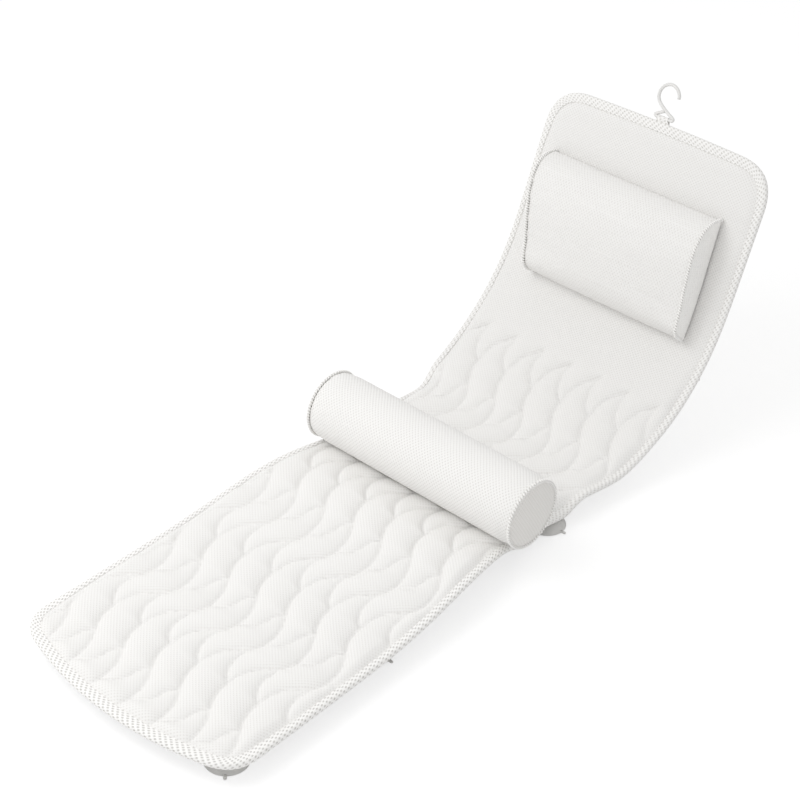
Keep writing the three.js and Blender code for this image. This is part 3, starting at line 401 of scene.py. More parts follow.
def bake(piece):
    """Puts the result of the piece's modifiers into its mesh."""
    evaluated = piece.evaluated_get(bpy.context.evaluated_depsgraph_get())
    mesh = bpy.data.meshes.new_from_object(evaluated)
    old = piece.data
    piece.modifiers.clear()
    piece.data = mesh
    bpy.data.meshes.remove(old)
    shade_smooth(mesh)


def coordinates(mesh):
    flat = np.empty(len(mesh.vertices) * 3)
    mesh.vertices.foreach_get("co", flat)
    return flat.reshape(-1, 3)


def blown_up(piece, held_points):
    """Where a cushion's points lie once air has pushed it out as cloth."""
    held = piece.vertex_groups.new(name="held")
    held.add([int(i) for i in held_points], 1, "REPLACE")
    cloth = piece.modifiers.new("cloth", "CLOTH")
    cloth.settings.quality = 6
    cloth.settings.mass = 0.15
    cloth.settings.tension_stiffness = 12
    cloth.settings.compression_stiffness = 12
    cloth.settings.bending_stiffness = 0.4
    cloth.settings.use_pressure = True
    cloth.settings.uniform_pressure_force = AIR_PRESSURE
    cloth.settings.vertex_group_mass = "held"
    cloth.settings.effector_weights.gravity = 0
    cloth.collision_settings.use_collision = False
    scene = bpy.context.scene
    for number in range(1, AIR_FRAMES + 1):
        scene.frame_set(number)
    evaluated = piece.evaluated_get(bpy.context.evaluated_depsgraph_get())
    points = coordinates(evaluated.data)
    piece.modifiers.clear()
    piece.vertex_groups.clear()
    scene.frame_set(1)
    return points


def inflate(piece, most, is_held):
    """Fills a closed cushion with air as cloth. No point moves further than the most, in millimetres."""
    remesh = piece.modifiers.new("even mesh", "REMESH")
    remesh.mode = "VOXEL"
    remesh.voxel_size = VOXEL / METRE
    bake(piece)
    start = coordinates(piece.data)
    moved = blown_up(piece, np.flatnonzero(is_held(start))) - start
    length = np.linalg.norm(moved, axis=1)
    scale = np.minimum(1, most / METRE / np.maximum(length, NO_MOVE))
    piece.data.vertices.foreach_set("co", (start + moved * scale[:, None]).ravel())
    piece.data.update()
    finer = piece.modifiers.new("finer", "SUBSURF")
    finer.levels = 1
    bake(piece)


# Quilting

def wave_at(share):
    """How far a seam has swung sideways, as a share of the pitch, at a share of its repeat."""
    first = WAVE_SHARES[0, 0]
    wrapped = first + np.mod(share - first, 1)
    knots = np.concatenate([WAVE_SHARES[-1:] - (1, 0), WAVE_SHARES, WAVE_SHARES[:2] + (1, 0)])
    at = np.clip(np.searchsorted(knots[:, 0], wrapped, side="right") - 1, 1, len(knots) - 3)
    before, start, stop, after = knots[at - 1], knots[at], knots[at + 1], knots[at + 2]
    span = stop[..., 0] - start[..., 0]
    t = (wrapped - start[..., 0]) / span
    slope_in = span * (stop[..., 1] - before[..., 1]) / (stop[..., 0] - before[..., 0])
    slope_out = span * (after[..., 1] - start[..., 1]) / (after[..., 0] - start[..., 0])
    return ((2 * t ** 3 - 3 * t ** 2 + 1) * start[..., 1] + (t ** 3 - 2 * t ** 2 + t) * slope_in
            + (3 * t ** 2 - 2 * t ** 3) * stop[..., 1] + (t ** 3 - t ** 2) * slope_out)


def split_at(share):
    """Where the second seam lies between two seams, from 0 at the one to 1 at the other."""
    at = np.mod(share, 1)
    opening = np.clip((at - LEAF_OPENS) / (LEAF_FULL - LEAF_OPENS), 0, 1)
    closing = np.clip((at - LEAF_PARTS) / (1 - LEAF_PARTS), 0, 1)
    grown = opening + LEAF_OPEN_SWELL * np.sin(2 * math.pi * opening)
    shrunk = 1 - closing - LEAF_CLOSE_SWELL * np.sin(2 * math.pi * closing)
    return np.where(at < LEAF_PARTS, grown, shrunk)


def quilt_shape(x, s):
    """Width of the puff that a place lies in, as a share of the pitch, and how far across it, 0 to 1."""
    share = (s - FIRST_TIP_ALONG) / SEAM_REPEAT
    across = (x - FIRST_TIP_ACROSS) / SEAM_PITCH - wave_at(share)
    part = across - np.floor(across)
    split = np.clip(split_at(share), SEAM_LEAST_SHARE, 1 - SEAM_LEAST_SHARE)
    first = part < split
    width = np.where(first, split, 1 - split)
    t = np.where(first, part / split, (part - split) / (1 - split))
    return width, t


def bolster_middle():
    return lay(BOLSTER_ACROSS, BOLSTER_ALONG, BOLSTER_BASE + BOLSTER_FLAT)


def pressed_level(x, s):
    """The highest that the mat may stand under the bolster and its strip."""
    angle = spine_angle(s)
    at = lay(0, s, 0)
    centre = bolster_middle()
    dy = (centre[1] - at[..., 1]) * METRE
    dz = (centre[2] - at[..., 2]) * METRE
    along = dy * np.cos(angle) + dz * np.sin(angle)
    up = dz * np.cos(angle) - dy * np.sin(angle)
    reach = BOLSTER_RADIUS + BOLSTER_ROOM
    room = np.where(np.abs(along) < reach, up - np.sqrt(np.maximum(reach ** 2 - along ** 2, 0)), NO_LIMIT)
    length, width = BOLSTER_TAPE
    near_across = np.abs(x - BOLSTER_ACROSS) < length / 2 + TAPE_ROOM
    near_along = np.abs(s - BOLSTER_ALONG) < width / 2 + TAPE_ROOM
    return np.where(near_across & near_along, np.minimum(room, SEAT_TAPE_LEVEL - TAPE_CLEARANCE), room)


def edge_distance(x, s):
    """How far a place lies inside the mat's edge."""
    share = np.clip(np.abs(x) / HALF_WIDTH, 0, 1)
    side = half_width(s) - np.abs(x)
    nearest = side
    for out, bow, corner in ((s, FOOT_BOW, FOOT_CORNER), (MAT_LENGTH - s, HEAD_BOW, HEAD_CORNER)):
        end = out + bow * (1 - share ** 2)
        centre_gap = np.hypot(np.maximum(corner - side, 0), np.maximum(corner - end, 0))
        in_corner = (side < corner) & (end < corner)
        rounded = np.where(in_corner, CORNER_EASE * corner - centre_gap, NO_LIMIT)
        nearest = np.minimum(np.minimum(nearest, end), rounded)
    return nearest


def mat_level(x, s):
    """Level of the mat's upper side."""
    width, t = quilt_shape(x, s)
    arch = np.power(np.clip(4 * t * (1 - t), 0, 1), PUFF_ROUNDNESS)
    kept = 1 - PUFF_LOSS * smoothstep(s, *PUFF_LOSS_SPAN)
    puff = PUFF_HEIGHT * kept * np.power(width, PUFF_WIDTH_POWER) * arch
    edge = edge_distance(x, s) - cover_width(s) + EDGE_TUCK
    rise = 1 - (1 - np.clip(edge / PUFF_EDGE, 0, 1)) ** 2
    shoulder = 1 - smoothstep(s, QUILTING_END, QUILTING_END + SHOULDER_LENGTH)
    plain = PLAIN_LEVEL + (SHOULDER_LEVEL - PLAIN_LEVEL) * shoulder
    quilted = 1 - smoothstep(s, QUILTING_END - QUILTING_FADE, QUILTING_END + QUILTING_FADE)
    level = STITCH_LEVEL + quilted * puff * rise + (1 - quilted) * (plain - STITCH_LEVEL) * rise
    return np.minimum(level, pressed_level(x, s))


def mat_grid(from_s, to_s):
    """Places x and s on a length of the mat. Where the start or stop is None, it takes in the mat's end."""
    inset = BAND_END_COVER - BAND_OVERLAP
    foot, head = from_s is None, to_s is None
    low = inset if foot else from_s
    high = MAT_LENGTH - inset if head else to_s
    base = np.linspace(low, high, int((high - low) / GRID_ALONG) + 1)
    reach = half_width(base) - (cover_width(base) - BAND_OVERLAP)
    bow = np.zeros(len(base))
    ends = [(base, FOOT_BOW, FOOT_CORNER, foot), (MAT_LENGTH - base, HEAD_BOW, HEAD_CORNER, head)]
    for out, end_bow, corner, there in ends:
        if there:
            turn = np.sqrt(np.clip((out - inset) / (corner - inset), 0, 1))
            reach = reach - (corner - inset) * (1 - turn) ** 2
            bow = bow + (1 - smoothstep(out, inset, BOW_FADE)) * end_bow * (-1 if foot else 1)
    x = np.linspace(-1, 1, int(MAT_WIDTH / GRID_ACROSS))[None] * reach[:, None]
    return x, base[:, None] + bow[:, None] * (1 - (x / HALF_WIDTH) ** 2)


def slab_faces(rows, columns, wide):
    """The upper grid, the lower grid with its own number of columns, and the four walls between them."""
    start = rows * columns
    faces = grid_faces(rows, columns)
    faces += grid_faces(rows, wide, start, flip=True)
    for k in range(rows - 1):
        a, b = k * columns, (k + 1) * columns
        c, d = start + k * wide, start + (k + 1) * wide
        faces.append((a, b, d, c))
        faces.append((b + columns - 1, a + columns - 1, c + wide - 1, d + wide - 1))
    faces.append(tuple(range(start, start + wide)) + tuple(range(columns - 1, -1, -1)))
    last_top, last_low = (rows - 1) * columns, start + (rows - 1) * wide
    along_low = tuple(range(last_low + wide - 1, last_low - 1, -1))
    faces.append(tuple(range(last_top, last_top + columns)) + along_low)
    return faces


def mat_part(name, from_s, to_s):
    """A closed length of the mat: quilted above and flat below."""
    x, s = mat_grid(from_s, to_s)
    few = np.linspace(0, x.shape[1] - 1, UNDERSIDE_COLUMNS).astype(int)
    top = drape(x, s, mat_level(x, s))
    bottom = drape(x[:, few], s[:, few], UNDERSIDE)
    points = np.concatenate([top.reshape(-1, 3), bottom.reshape(-1, 3)])
    places = np.stack([x, s], -1)
    weave = np.concatenate([places.reshape(-1, 2), places[:, few].reshape(-1, 2)])
    return make_mesh(name, points, slab_faces(*x.shape, len(few)), weave)


# Binding

def end_curve(bow, corner):
    """Points of the right half of a mat's end, as x, distance out of the corner line, and the way inwards."""
    bow_end = HALF_WIDTH - corner
    bow_rise = bow * (1 - (bow_end / HALF_WIDTH) ** 2)
    corner_rise = bow_rise - 2 * bow / HALF_WIDTH * (bow_end / HALF_WIDTH) * corner
    side_start = corner_rise - corner
    curves = [((0, bow), (bow_end / 2, bow), (bow_end, bow_rise), BOW_STEPS),
              ((bow_end, bow_rise), (HALF_WIDTH, corner_rise), (HALF_WIDTH, side_start), CORNER_STEPS)]
    out = []
    for a, b, c, count in curves:
        a, b, c = map(np.array, (a, b, c))
        for t in np.linspace(0, 1, count, endpoint=False):
            at = a * (1 - t) ** 2 + 2 * b * t * (1 - t) + c * t * t
            along = 2 * (b - a) * (1 - t) + 2 * (c - b) * t
            along = along / np.linalg.norm(along)
            out.append((at[0], at[1], along[1], -along[0]))
    return np.array(out), side_start


def band_path(foot):
    """x, s and the way inwards along the edge, from the split on the left, round the end, to the right."""
    if foot:
        curve, side_start = end_curve(FOOT_BOW, FOOT_CORNER)
        end, outwards, steps = 0, -1, FOOT_SIDE_STEPS
    else:
        curve, side_start = end_curve(HEAD_BOW, HEAD_CORNER)
        end, outwards, steps = MAT_LENGTH, 1, HEAD_SIDE_STEPS
    side = np.linspace(end + outwards * side_start, MAT_SPLIT + outwards * SPLIT_GAP, steps)
    right_x = np.concatenate([curve[:, 0], half_width(side)])
    right_s = np.concatenate([end + outwards * curve[:, 1], side])
    right_in_x = np.concatenate([curve[:, 2], np.full(len(side), -1.0)])
    right_in_s = np.concatenate([outwards * curve[:, 3], np.zeros(len(side))])
    left = slice(len(right_x) - 1, 0, -1)
    return (np.concatenate([-right_x[left], right_x]), np.concatenate([right_s[left], right_s]),
            np.concatenate([-right_in_x[left], right_in_x]), np.concatenate([right_in_s[left], right_in_s]))


def band(name, foot):
    """The binding round one half of the mat, as one closed tube."""
    x, s, in_x, in_s = band_path(foot)
    cover = cover_width(np.clip(s, 0, MAT_LENGTH))
    lines = []
    for share, inset, n in BAND_SECTION:
        reach = np.maximum(share * cover + inset, 0)
        lines.append(drape(x + in_x * reach, s + in_s * reach, n))
    points = np.stack(lines, 1)
    steps_round = np.linalg.norm(np.diff(points, axis=1), axis=2) * METRE
    girth = np.concatenate([np.zeros((len(x), 1)), np.cumsum(steps_round, 1)], 1)
    steps_along = np.hypot(np.diff(x), np.diff(s))
    along = np.concatenate([[0], np.cumsum(steps_along)])
    weave = np.stack(np.broadcast_arrays(along[:, None], girth), -1)
    return make_mesh(name, points, tube_faces(len(x), len(BAND_SECTION)), weave)


# Bolster

def bolster_points(x, radius, turns):
    """Places round the bolster, which is flat below. The turns start at the top."""
    x, radius, turns = np.broadcast_arrays(x, radius, turns)
    centre = bolster_middle()
    along, up = mat_directions(BOLSTER_ALONG)
    across = radius * np.sin(turns)
    rise = np.maximum(radius * np.cos(turns), -BOLSTER_FLAT)
    points = centre + (across[..., None] * along + rise[..., None] * up) / METRE
    points[..., 0] = (x + SHIFT[0]) / METRE
    return points


def bolster_cover():
    half = BOLSTER_LENGTH / 2
    x = np.linspace(-half - BOLSTER_LEFT_EXTRA, half, BOLSTER_RINGS)
    turns = np.linspace(0, 2 * math.pi, BOLSTER_SIDES, endpoint=False) + math.pi
    from_end = np.minimum(half - x, x + half + BOLSTER_LEFT_EXTRA)
    drawn = BOLSTER_DRAW * (1 - smoothstep(from_end, 0, BOLSTER_DRAW_LENGTH)) ** BOLSTER_DRAW_POWER
    radius = BOLSTER_RADIUS - BOLSTER_SHRINK - drawn
    rings = bolster_points(x[:, None] + BOLSTER_ACROSS, radius[:, None], turns[None])
    piece = make_mesh("bolster", rings, tube_faces(len(x), len(turns), flip=True))
    centre = bolster_middle()
    along, up = mat_directions(BOLSTER_ALONG)

    def is_held(points):
        out = points[:, 0] * METRE - (BOLSTER_ACROSS + SHIFT[0])
        at_end = (out > half - BOLSTER_HELD_END) | (out < BOLSTER_HELD_END - half - BOLSTER_LEFT_EXTRA)
        below = (points - centre) @ up * METRE < -BOLSTER_FLAT + BOLSTER_HELD_BELOW
        return at_end | below

    inflate(piece, BOLSTER_MOST, is_held)
    points = coordinates(piece.data)
    turn = np.arctan2((points - centre) @ along, (points - centre) @ up)
    set_weave(piece.data, np.stack([points[:, 0] * METRE, turn * BOLSTER_RADIUS], -1))
    return piece


def bolster_disc(name, side):
    half = BOLSTER_LENGTH / 2 + (BOLSTER_LEFT_EXTRA if side < 0 else 0)
    turns = np.linspace(0, 2 * math.pi, DISC_SIDES, endpoint=False)
    x = BOLSTER_ACROSS + side * (half + DISC_CROWN)
    rings = bolster_points(x[:, None], DISC_RADII[:, None], turns[None])
    weave = np.stack([DISC_RADII[:, None] * np.sin(turns), DISC_RADII[:, None] * np.cos(turns)], -1)
    faces = grid_faces(len(DISC_RADII), len(turns), around=True, flip=side < 0)
    return make_mesh(name, rings, faces, weave)


def bolster_bead(name, side):
    turns = np.linspace(0, 2 * math.pi, BEAD_STEPS, endpoint=False)
    out = BOLSTER_LENGTH / 2 + (BEAD_OUT_RIGHT if side > 0 else BEAD_OUT_LEFT)
    path = bolster_points(BOLSTER_ACROSS + side * out, BEAD_RADIUS, turns)
    return tube(name, path, THREAD_RADIUS, THREAD_SIDES, BEAD_TWIST, BEAD_THREAD_PITCH, closed=True)


# Head pillow

def pillow_span(along):
    """Half the pillow's width, and its middle across the mat, at a place along it."""
    share = along / PILLOW_HEIGHT
    half = (PILLOW_WIDTH_BOTTOM + (PILLOW_WIDTH_TOP - PILLOW_WIDTH_BOTTOM) * share) / 2
    return half, PILLOW_SKEW * (0.5 - share)


def pillow_point(side, short, along, up):
    """Points in the frame: the side from -1 to 1 and how far short of its end, along, and up from the mat."""
    half, middle = pillow_span(along)
    crown = 1 + PILLOW_CROWN / PILLOW_DEPTH * (1 - side * side)
    return lay(middle + side * (half - short), PILLOW_START + along, PILLOW_BASE + up * crown)


def pillow_front(step):
    """The line of the pillow's front, as places along and up."""
    return smooth_path(PILLOW_PROFILE * (PILLOW_HEIGHT, PILLOW_DEPTH), step)


def pillow():
    back_along = np.linspace(PILLOW_HEIGHT, 0, PILLOW_BACK_POINTS + 2)[1:-1]
    ring = np.concatenate([pillow_front(PILLOW_STEP), np.stack([back_along, 0 * back_along], 1)])
    sides = np.linspace(-1, 1, PILLOW_RINGS)
    up = ring[:, 1] - PILLOW_SHRINK * (ring[:, 1] > PILLOW_SHRINK_ABOVE)
    points = pillow_point(sides[:, None], 0, ring[None, :, 0], up[None])
    piece = make_mesh("head_pillow", points, tube_faces(len(sides), len(ring)))

    def is_held(points):
        across, along, up = pillow_places(points)
        half, middle = pillow_span(along)
        return (np.abs(across - middle) > half - PILLOW_HELD) | (up < PILLOW_HELD)

    inflate(piece, PILLOW_MOST, is_held)
    across, along, up = pillow_places(coordinates(piece.data))
    fine = pillow_front(PILLOW_WEAVE_STEP)
    length = np.concatenate([[0], np.cumsum(np.linalg.norm(np.diff(fine, axis=0), axis=1))])
    gaps = (along[:, None] - fine[None, :, 0]) ** 2 + (up[:, None] - fine[None, :, 1]) ** 2
    set_weave(piece.data, np.stack([across, length[np.argmin(gaps, 1)]], -1))
    return piece


def pillow_places(points):
    """Across, along and up from the pillow's foot, for points in the frame."""
    middle = PILLOW_START + PILLOW_HEIGHT / 2
    along, up = mat_directions(middle)
    offset = (points - lay(0, middle, PILLOW_BASE)) * METRE
    return offset[:, 0], offset @ along + PILLOW_HEIGHT / 2, offset @ up


def pillow_gusset(name, side):
    """The end panel, with the fold that runs along it."""
    along = np.linspace(GUSSET_MARGIN, PILLOW_HEIGHT - GUSSET_MARGIN, GUSSET_ROWS)
    profile = PILLOW_PROFILE * (PILLOW_HEIGHT, PILLOW_DEPTH)
    always_rising = np.linspace(0, 0.01, len(profile))
    height = np.interp(along, profile[:, 0] + always_rising, profile[:, 1])
    height = np.maximum(height, GUSSET_LEAST_HEIGHT)
    share = np.linspace(0, 1, GUSSET_COLUMNS)
    end = np.clip(np.minimum(along, PILLOW_HEIGHT - along) / GUSSET_EASE, 0, 1)
    fold = GUSSET_FOLD * np.exp(-((share - GUSSET_FOLD_AT) / GUSSET_FOLD_SPREAD) ** 2)
    bulge = (GUSSET_BULGE * np.sin(math.pi * share) - fold)[None] * end[:, None]
    along, up = np.broadcast_arrays(along[:, None], share[None] * height[:, None])
    points = pillow_point(side, GUSSET_INSET - bulge, along, up)
    faces = grid_faces(GUSSET_ROWS, GUSSET_COLUMNS, flip=side > 0)
    return thicken(make_mesh(name, points, faces, np.stack([up, along], -1)), GUSSET_THICKNESS)


def pillow_seam(name, side):
    path = pillow_front(SEAM_STEP)[SEAM_FIRST_POINT:]
    inset, rise = (SEAM_RIGHT_IN, SEAM_RIGHT_UP) if side > 0 else (SEAM_LEFT_IN, SEAM_LEFT_UP)
    points = pillow_point(side, inset, path[:, 0], path[:, 1] + rise)
    return tube(name, points, THREAD_RADIUS, THREAD_SIDES, SEAM_TWIST, SEAM_THREAD_PITCH)


# Suction cups and hook

def cup_mesh():
    """The cup's profile turned round its axis, with one point at each of its two middles."""
    count = CUP_SIDES
    turns = np.linspace(0, 2 * math.pi, count, endpoint=False)
    radius, height = CUP_PROFILE.T[:, :, None]
    points = np.stack([radius * np.cos(turns), radius * np.sin(turns), height + 0 * turns], -1)
    points = points.reshape(-1, 3)[count - 1:-count + 1]
    faces = [(0, 1 + (i + 1) % count, 1 + i) for i in range(count)]
    faces += grid_faces(len(CUP_PROFILE) - 2, count, start=1, around=True)
    end = len(points) - 1
    first = end - count
    faces += [(end, first + i, first + (i + 1) % count) for i in range(count)]
    return points, faces


def nib_points():
    """A short rounded tongue that leaves the rim along +X."""
    turns = np.linspace(0, 2 * math.pi, NIB_SIDES, endpoint=False)
    out, level, width, thickness = NIB_SECTIONS.T[:, :, None]
    points = np.stack([out + 0 * turns, width * np.cos(turns), level + thickness * np.sin(turns)], -1)
    return points.reshape(-1, 3), tube_faces(len(NIB_SECTIONS), NIB_SIDES)


def cup_places():
    places = []
    for row, s in CUP_ROWS.items():
        places += [(f"cup_{row}_right", CUP_SIDE_X, s), (f"cup_{row}_left", -CUP_SIDE_X, s)]
    return places + [(f"cup_{row}", 0, s) for row, s in CUP_CENTRES.items()]


def make_cups(material):
    points, faces = cup_mesh()
    nib, nib_faces = nib_points()
    faces = faces + [tuple(i + len(points) for i in face) for face in nib_faces]
    points = np.concatenate([points, nib]) / METRE
    shared = bpy.data.meshes.new("suction_cup")
    shared.from_pydata(points.tolist(), [], faces)
    shared.update()
    shade_smooth(shared)
    shared.materials.append(material)
    for name, x, s in cup_places():
        piece = bpy.data.objects.new(name.replace("cup_", "suction_cup_"), shared)
        bpy.context.scene.collection.objects.link(piece)
        turn = Matrix.Rotation(math.radians(NIB_TURNS_DEG.get(name, 0)), 4, "Z")
        piece.matrix_world = (Matrix.Translation(Vector(lay(x, s, -CUP_DEPTH).tolist()))
                              @ Matrix.Rotation(float(spine_angle(s)), 4, "X") @ turn)
        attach(piece, f"{name}_body")
        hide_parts(name)


def hook():
    """One bent wire: the eye's free end first, round the eye's bar, then up the stem and round the hook."""
    places = HOOK_EYE[::-1] + HOOK_STEM[1:]
    path = np.array([lay(x, MAT_LENGTH + BAR_OUT + rise, 0) for x, rise in places])
    return tube("hanging_hook", smooth_path(path, HOOK_STEP / METRE), HOOK_RADIUS, HOOK_SIDES)


def tab():
    """A doubled band that leaves the head binding and folds round the hook's bar."""
    rows = np.linspace(TAB_START, 0, TAB_ROWS)
    turns = np.linspace(-math.pi / 2, math.pi / 2, TAB_TURNS)
    apart = TAB_APART + TAB_OPENING * smoothstep(rows, *TAB_OPENS)
    round_bar = [(TAB_BAR_RADIUS * math.cos(t), TAB_BAR_RADIUS * math.sin(t)) for t in turns]
    line = np.array(list(zip(rows, -apart))[:-1] + round_bar + list(zip(rows, apart))[-2::-1])
    out, level = line.T[:, :, None]
    across = np.linspace(0, 1, TAB_COLUMNS)
    flare = np.clip(-out / TAB_FLARE_LENGTH, 0, 1)
    x = TAB_LEFT - TAB_FLARE_LEFT * flare + (TAB_WIDTH + TAB_FLARE_WIDTH * flare) * across
    ripple = TAB_RIPPLE * np.cos(across * 2 * math.pi * TAB_RIPPLES) * (TAB_LEAST_RIPPLE + flare)
    points = lay(x, MAT_LENGTH + BAR_OUT + out, level + ripple * np.sign(level))
    weave = np.stack(np.broadcast_arrays(x, np.arange(len(line))[:, None] * TAB_WEAVE_STEP), -1)
    return thicken(make_mesh("hook_tab", points, grid_faces(len(line), TAB_COLUMNS), weave), TAB_THICKNESS)


def strip(name, x, s, size, bottom):
    """A flat length of hook-and-loop tape with rounded corners."""
    inner_length, inner_width = size[0] / 2 - TAPE_CORNER, size[1] / 2 - TAPE_CORNER
    outline = []
    for cx, cy, start in ((1, 1, 0), (-1, 1, 90), (-1, -1, 180), (1, -1, 270)):
        for t in np.radians(np.linspace(start, start + 90, TAPE_CORNER_POINTS)):
            outline.append((cx * inner_length + TAPE_CORNER * math.cos(t),
                            cy * inner_width + TAPE_CORNER * math.sin(t)))
    outline = np.array(outline)
    along, up = mat_directions(s)
    lower = lay(x, s, bottom) + (outline[:, :1] * (1, 0, 0) + outline[:, 1:] * along) / METRE
    upper = lower + up * TAPE_THICKNESS / METRE
    return make_mesh(name, np.concatenate([lower, upper]), tube_faces(2, len(outline)),
                     np.concatenate([outline, outline]))


# Materials

MIX_FIRST, MIX_SECOND, MIX_RESULT = 6, 7, 2


class Nodes:
    """A material's nodes, and short ways to add to them."""

    def __init__(self, name):
        self.material = bpy.data.materials.new(name)
        self.material.use_nodes = True
        self.tree = self.material.node_tree
        self.shader = self.tree.nodes["Principled BSDF"]

    def add(self, kind, **settings):
        node = self.tree.nodes.new(kind)
        for key, value in settings.items():
            setattr(node, key, value)
        return node

    def link(self, output, target):
        self.tree.links.new(output, target)

    def math(self, operation, first, second=None, third=None):
        node = self.add("ShaderNodeMath", operation=operation)
        for socket, value in zip(node.inputs, (first, second, third)):
            if value is None:
                continue
            if isinstance(value, (int, float)):
                socket.default_value = value
            else:
                self.link(value, socket)
        return node.outputs[0]

    def weave(self):
        """The two places of a point on the flat cloth."""
        apart = self.add("ShaderNodeSeparateXYZ")
        self.link(self.add("ShaderNodeAttribute", attribute_name="weave").outputs["Vector"], apart.inputs[0])
        return apart.outputs[0], apart.outputs[1]

    def ramp(self, value, low, high, first=0, last=1):
        """Goes smoothly from the first to the last while the value goes from low to high."""
        node = self.add("ShaderNodeMapRange", interpolation_type="SMOOTHSTEP")
        self.link(value, node.inputs["Value"])
        for socket, number in (("From Min", low), ("From Max", high), ("To Min", first), ("To Max", last)):
            node.inputs[socket].default_value = number
        return node.outputs[0]

    def mix(self, factor, first, second):
        """A colour between two, which are given as written."""
        node = self.add("ShaderNodeMix", data_type="RGBA")
        self.link(factor, node.inputs["Factor"])
        node.inputs[MIX_FIRST].default_value = linear(first)
        node.inputs[MIX_SECOND].default_value = linear(second)
        return node.outputs[MIX_RESULT]

    def surface(self, roughness, specular):
        self.shader.inputs["Roughness"].default_value = roughness
        self.shader.inputs["Specular IOR Level"].default_value = specular


def linear(colour):
    return tuple((c / 255 / 12.92) if c <= 10 else ((c / 255 + 0.055) / 1.055) ** 2.4 for c in colour) + (1,)


def mesh_cloth(name, colour, hole_colour, pitch, hole, height, slant=0.0, painted_shade=0.0):
    """Open mesh: staggered holes in rows, from the place of each point on the flat cloth.

    The pitch is across and along. The hole is the height of the weave's wave where it starts to open, and
    where it is fully open. The last argument paints shade: the cloth gets darker towards the head, where the
    lamp's light falls off."""
    nodes = Nodes(name)
    across, along = nodes.weave()
    slanted = nodes.math("MULTIPLY_ADD", along, slant, across)
    wave_across = nodes.math("COSINE", nodes.math("MULTIPLY", slanted, 2 * math.pi / pitch[0]))
    wave_along = nodes.math("COSINE", nodes.math("MULTIPLY", along, math.pi / pitch[1]))
    open_share = nodes.ramp(nodes.math("MULTIPLY", wave_across, wave_along), *hole)
    falloff_shaded = nodes.add("ShaderNodeHueSaturation")
    # Painted shade: the cloth's colour darkens towards the head, standing in for the lamp's falloff
    nodes.link(nodes.ramp(along, PAINTED_SHADE_FROM, PAINTED_SHADE_TO, 1, 1 - painted_shade), falloff_shaded.inputs["Value"])
    nodes.link(nodes.mix(open_share, colour, hole_colour), falloff_shaded.inputs["Color"])
    nodes.link(falloff_shaded.outputs[0], nodes.shader.inputs["Base Color"])
    bump = nodes.add("ShaderNodeBump", invert=True)
    bump.inputs["Strength"].default_value = 1
    bump.inputs["Distance"].default_value = height / METRE
    nodes.link(open_share, bump.inputs["Height"])
    nodes.link(bump.outputs[0], nodes.shader.inputs["Normal"])
    nodes.surface(roughness=0.9, specular=0.15)
    return nodes.material


def thread_material(name, colour, gap_shade_colour, pitch):
    """Thread wound along a cord, with painted shade in the gap between one stitch and the next."""
    nodes = Nodes(name)
    along, around = nodes.weave()
    turn = nodes.math("MULTIPLY", around, 1 / THREAD_RADIUS)
    swell = nodes.math("COSINE", nodes.math("MULTIPLY_ADD", along, 2 * math.pi / pitch, turn))
    shade = nodes.mix(nodes.ramp(swell, *THREAD_GAP_SHADE), gap_shade_colour, colour)
    nodes.link(shade, nodes.shader.inputs["Base Color"])
    nodes.surface(roughness=0.8, specular=0.15)
    return nodes.material


def plain_material(name, colour, roughness, specular):
    nodes = Nodes(name)
    nodes.shader.inputs["Base Color"].default_value = linear(colour)
    nodes.surface(roughness, specular)
    return nodes.material


def cup_material():
    nodes = Nodes("grey translucent plastic")
    nodes.shader.inputs["Base Color"].default_value = linear((240, 239, 236))
    nodes.shader.inputs["Roughness"].default_value = 0.28
    nodes.shader.inputs["Transmission Weight"].default_value = 0.3
    nodes.shader.inputs["IOR"].default_value = 1.4
    return nodes.material


def wear(piece, material, body, slot, *nodes):
    piece.data.materials.clear()
    piece.data.materials.append(material)
    if body:
        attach(piece, body)
    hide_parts(*nodes)


COVER_PITCH = (5.25, 3.3)
# Painted shade: the quilted cloth is painted up to 4.5% darker towards the head, where the lamp's light falls
# off
quilt_cloth = mesh_cloth("white quilted mesh", (242, 241, 239), (229, 227, 224),
                         pitch=(5.6, 2.6), hole=(0.1, 0.95), height=0.16, painted_shade=0.045)
cover_cloth = mesh_cloth("white cover mesh", (244, 243, 241), (226, 224, 221),
                         pitch=COVER_PITCH, hole=(0.1, 0.9), height=0.3)
pillow_cloth = mesh_cloth("white pillow mesh", (240, 239, 237), (229, 227, 224),
                          pitch=COVER_PITCH, hole=(0.1, 0.9), height=0.25)
foot_cloth = mesh_cloth("white foot binding", (251, 250, 248), (216, 214, 210),
                        pitch=(8.6, 3.1), hole=(0.1, 0.8), height=0.6, slant=0.5)
head_cloth = mesh_cloth("white head binding", (245, 244, 242), (222, 220, 216),
                        pitch=(7.6, 3.1), hole=(0.1, 0.8), height=0.45, slant=0.5)
# Painted shade: the bolster's end discs are the cover's cloth painted darker, for the shade on ends that face
# away from the lamp
shaded_end_cloth = mesh_cloth("white end mesh with painted shade", (233, 231, 228), (224, 222, 218),
                       pitch=COVER_PITCH, hole=(0.0, 0.9), height=0.3)
# Painted light: the pillow's end panels are the pillow's cloth painted brighter, to lift the shade on these
# side faces
lit_gusset_cloth = mesh_cloth("white gusset mesh with painted light", (249, 248, 246), (243, 242, 239),
                          pitch=COVER_PITCH, hole=(0.0, 0.9), height=0.3)
tape = plain_material("white tape", (236, 235, 231), roughness=0.95, specular=0.1)
# Painted shade: each thread's second colour darkens the gaps between stitches, where shade falls
bead_thread = thread_material("white bead thread", (250, 249, 247), (212, 210, 206), BEAD_THREAD_PITCH)
seam_thread = thread_material("white seam thread", (250, 249, 247), (212, 210, 206), SEAM_THREAD_PITCH)
white_plastic = plain_material("white plastic", (228, 227, 225), roughness=0.35, specular=0.5)

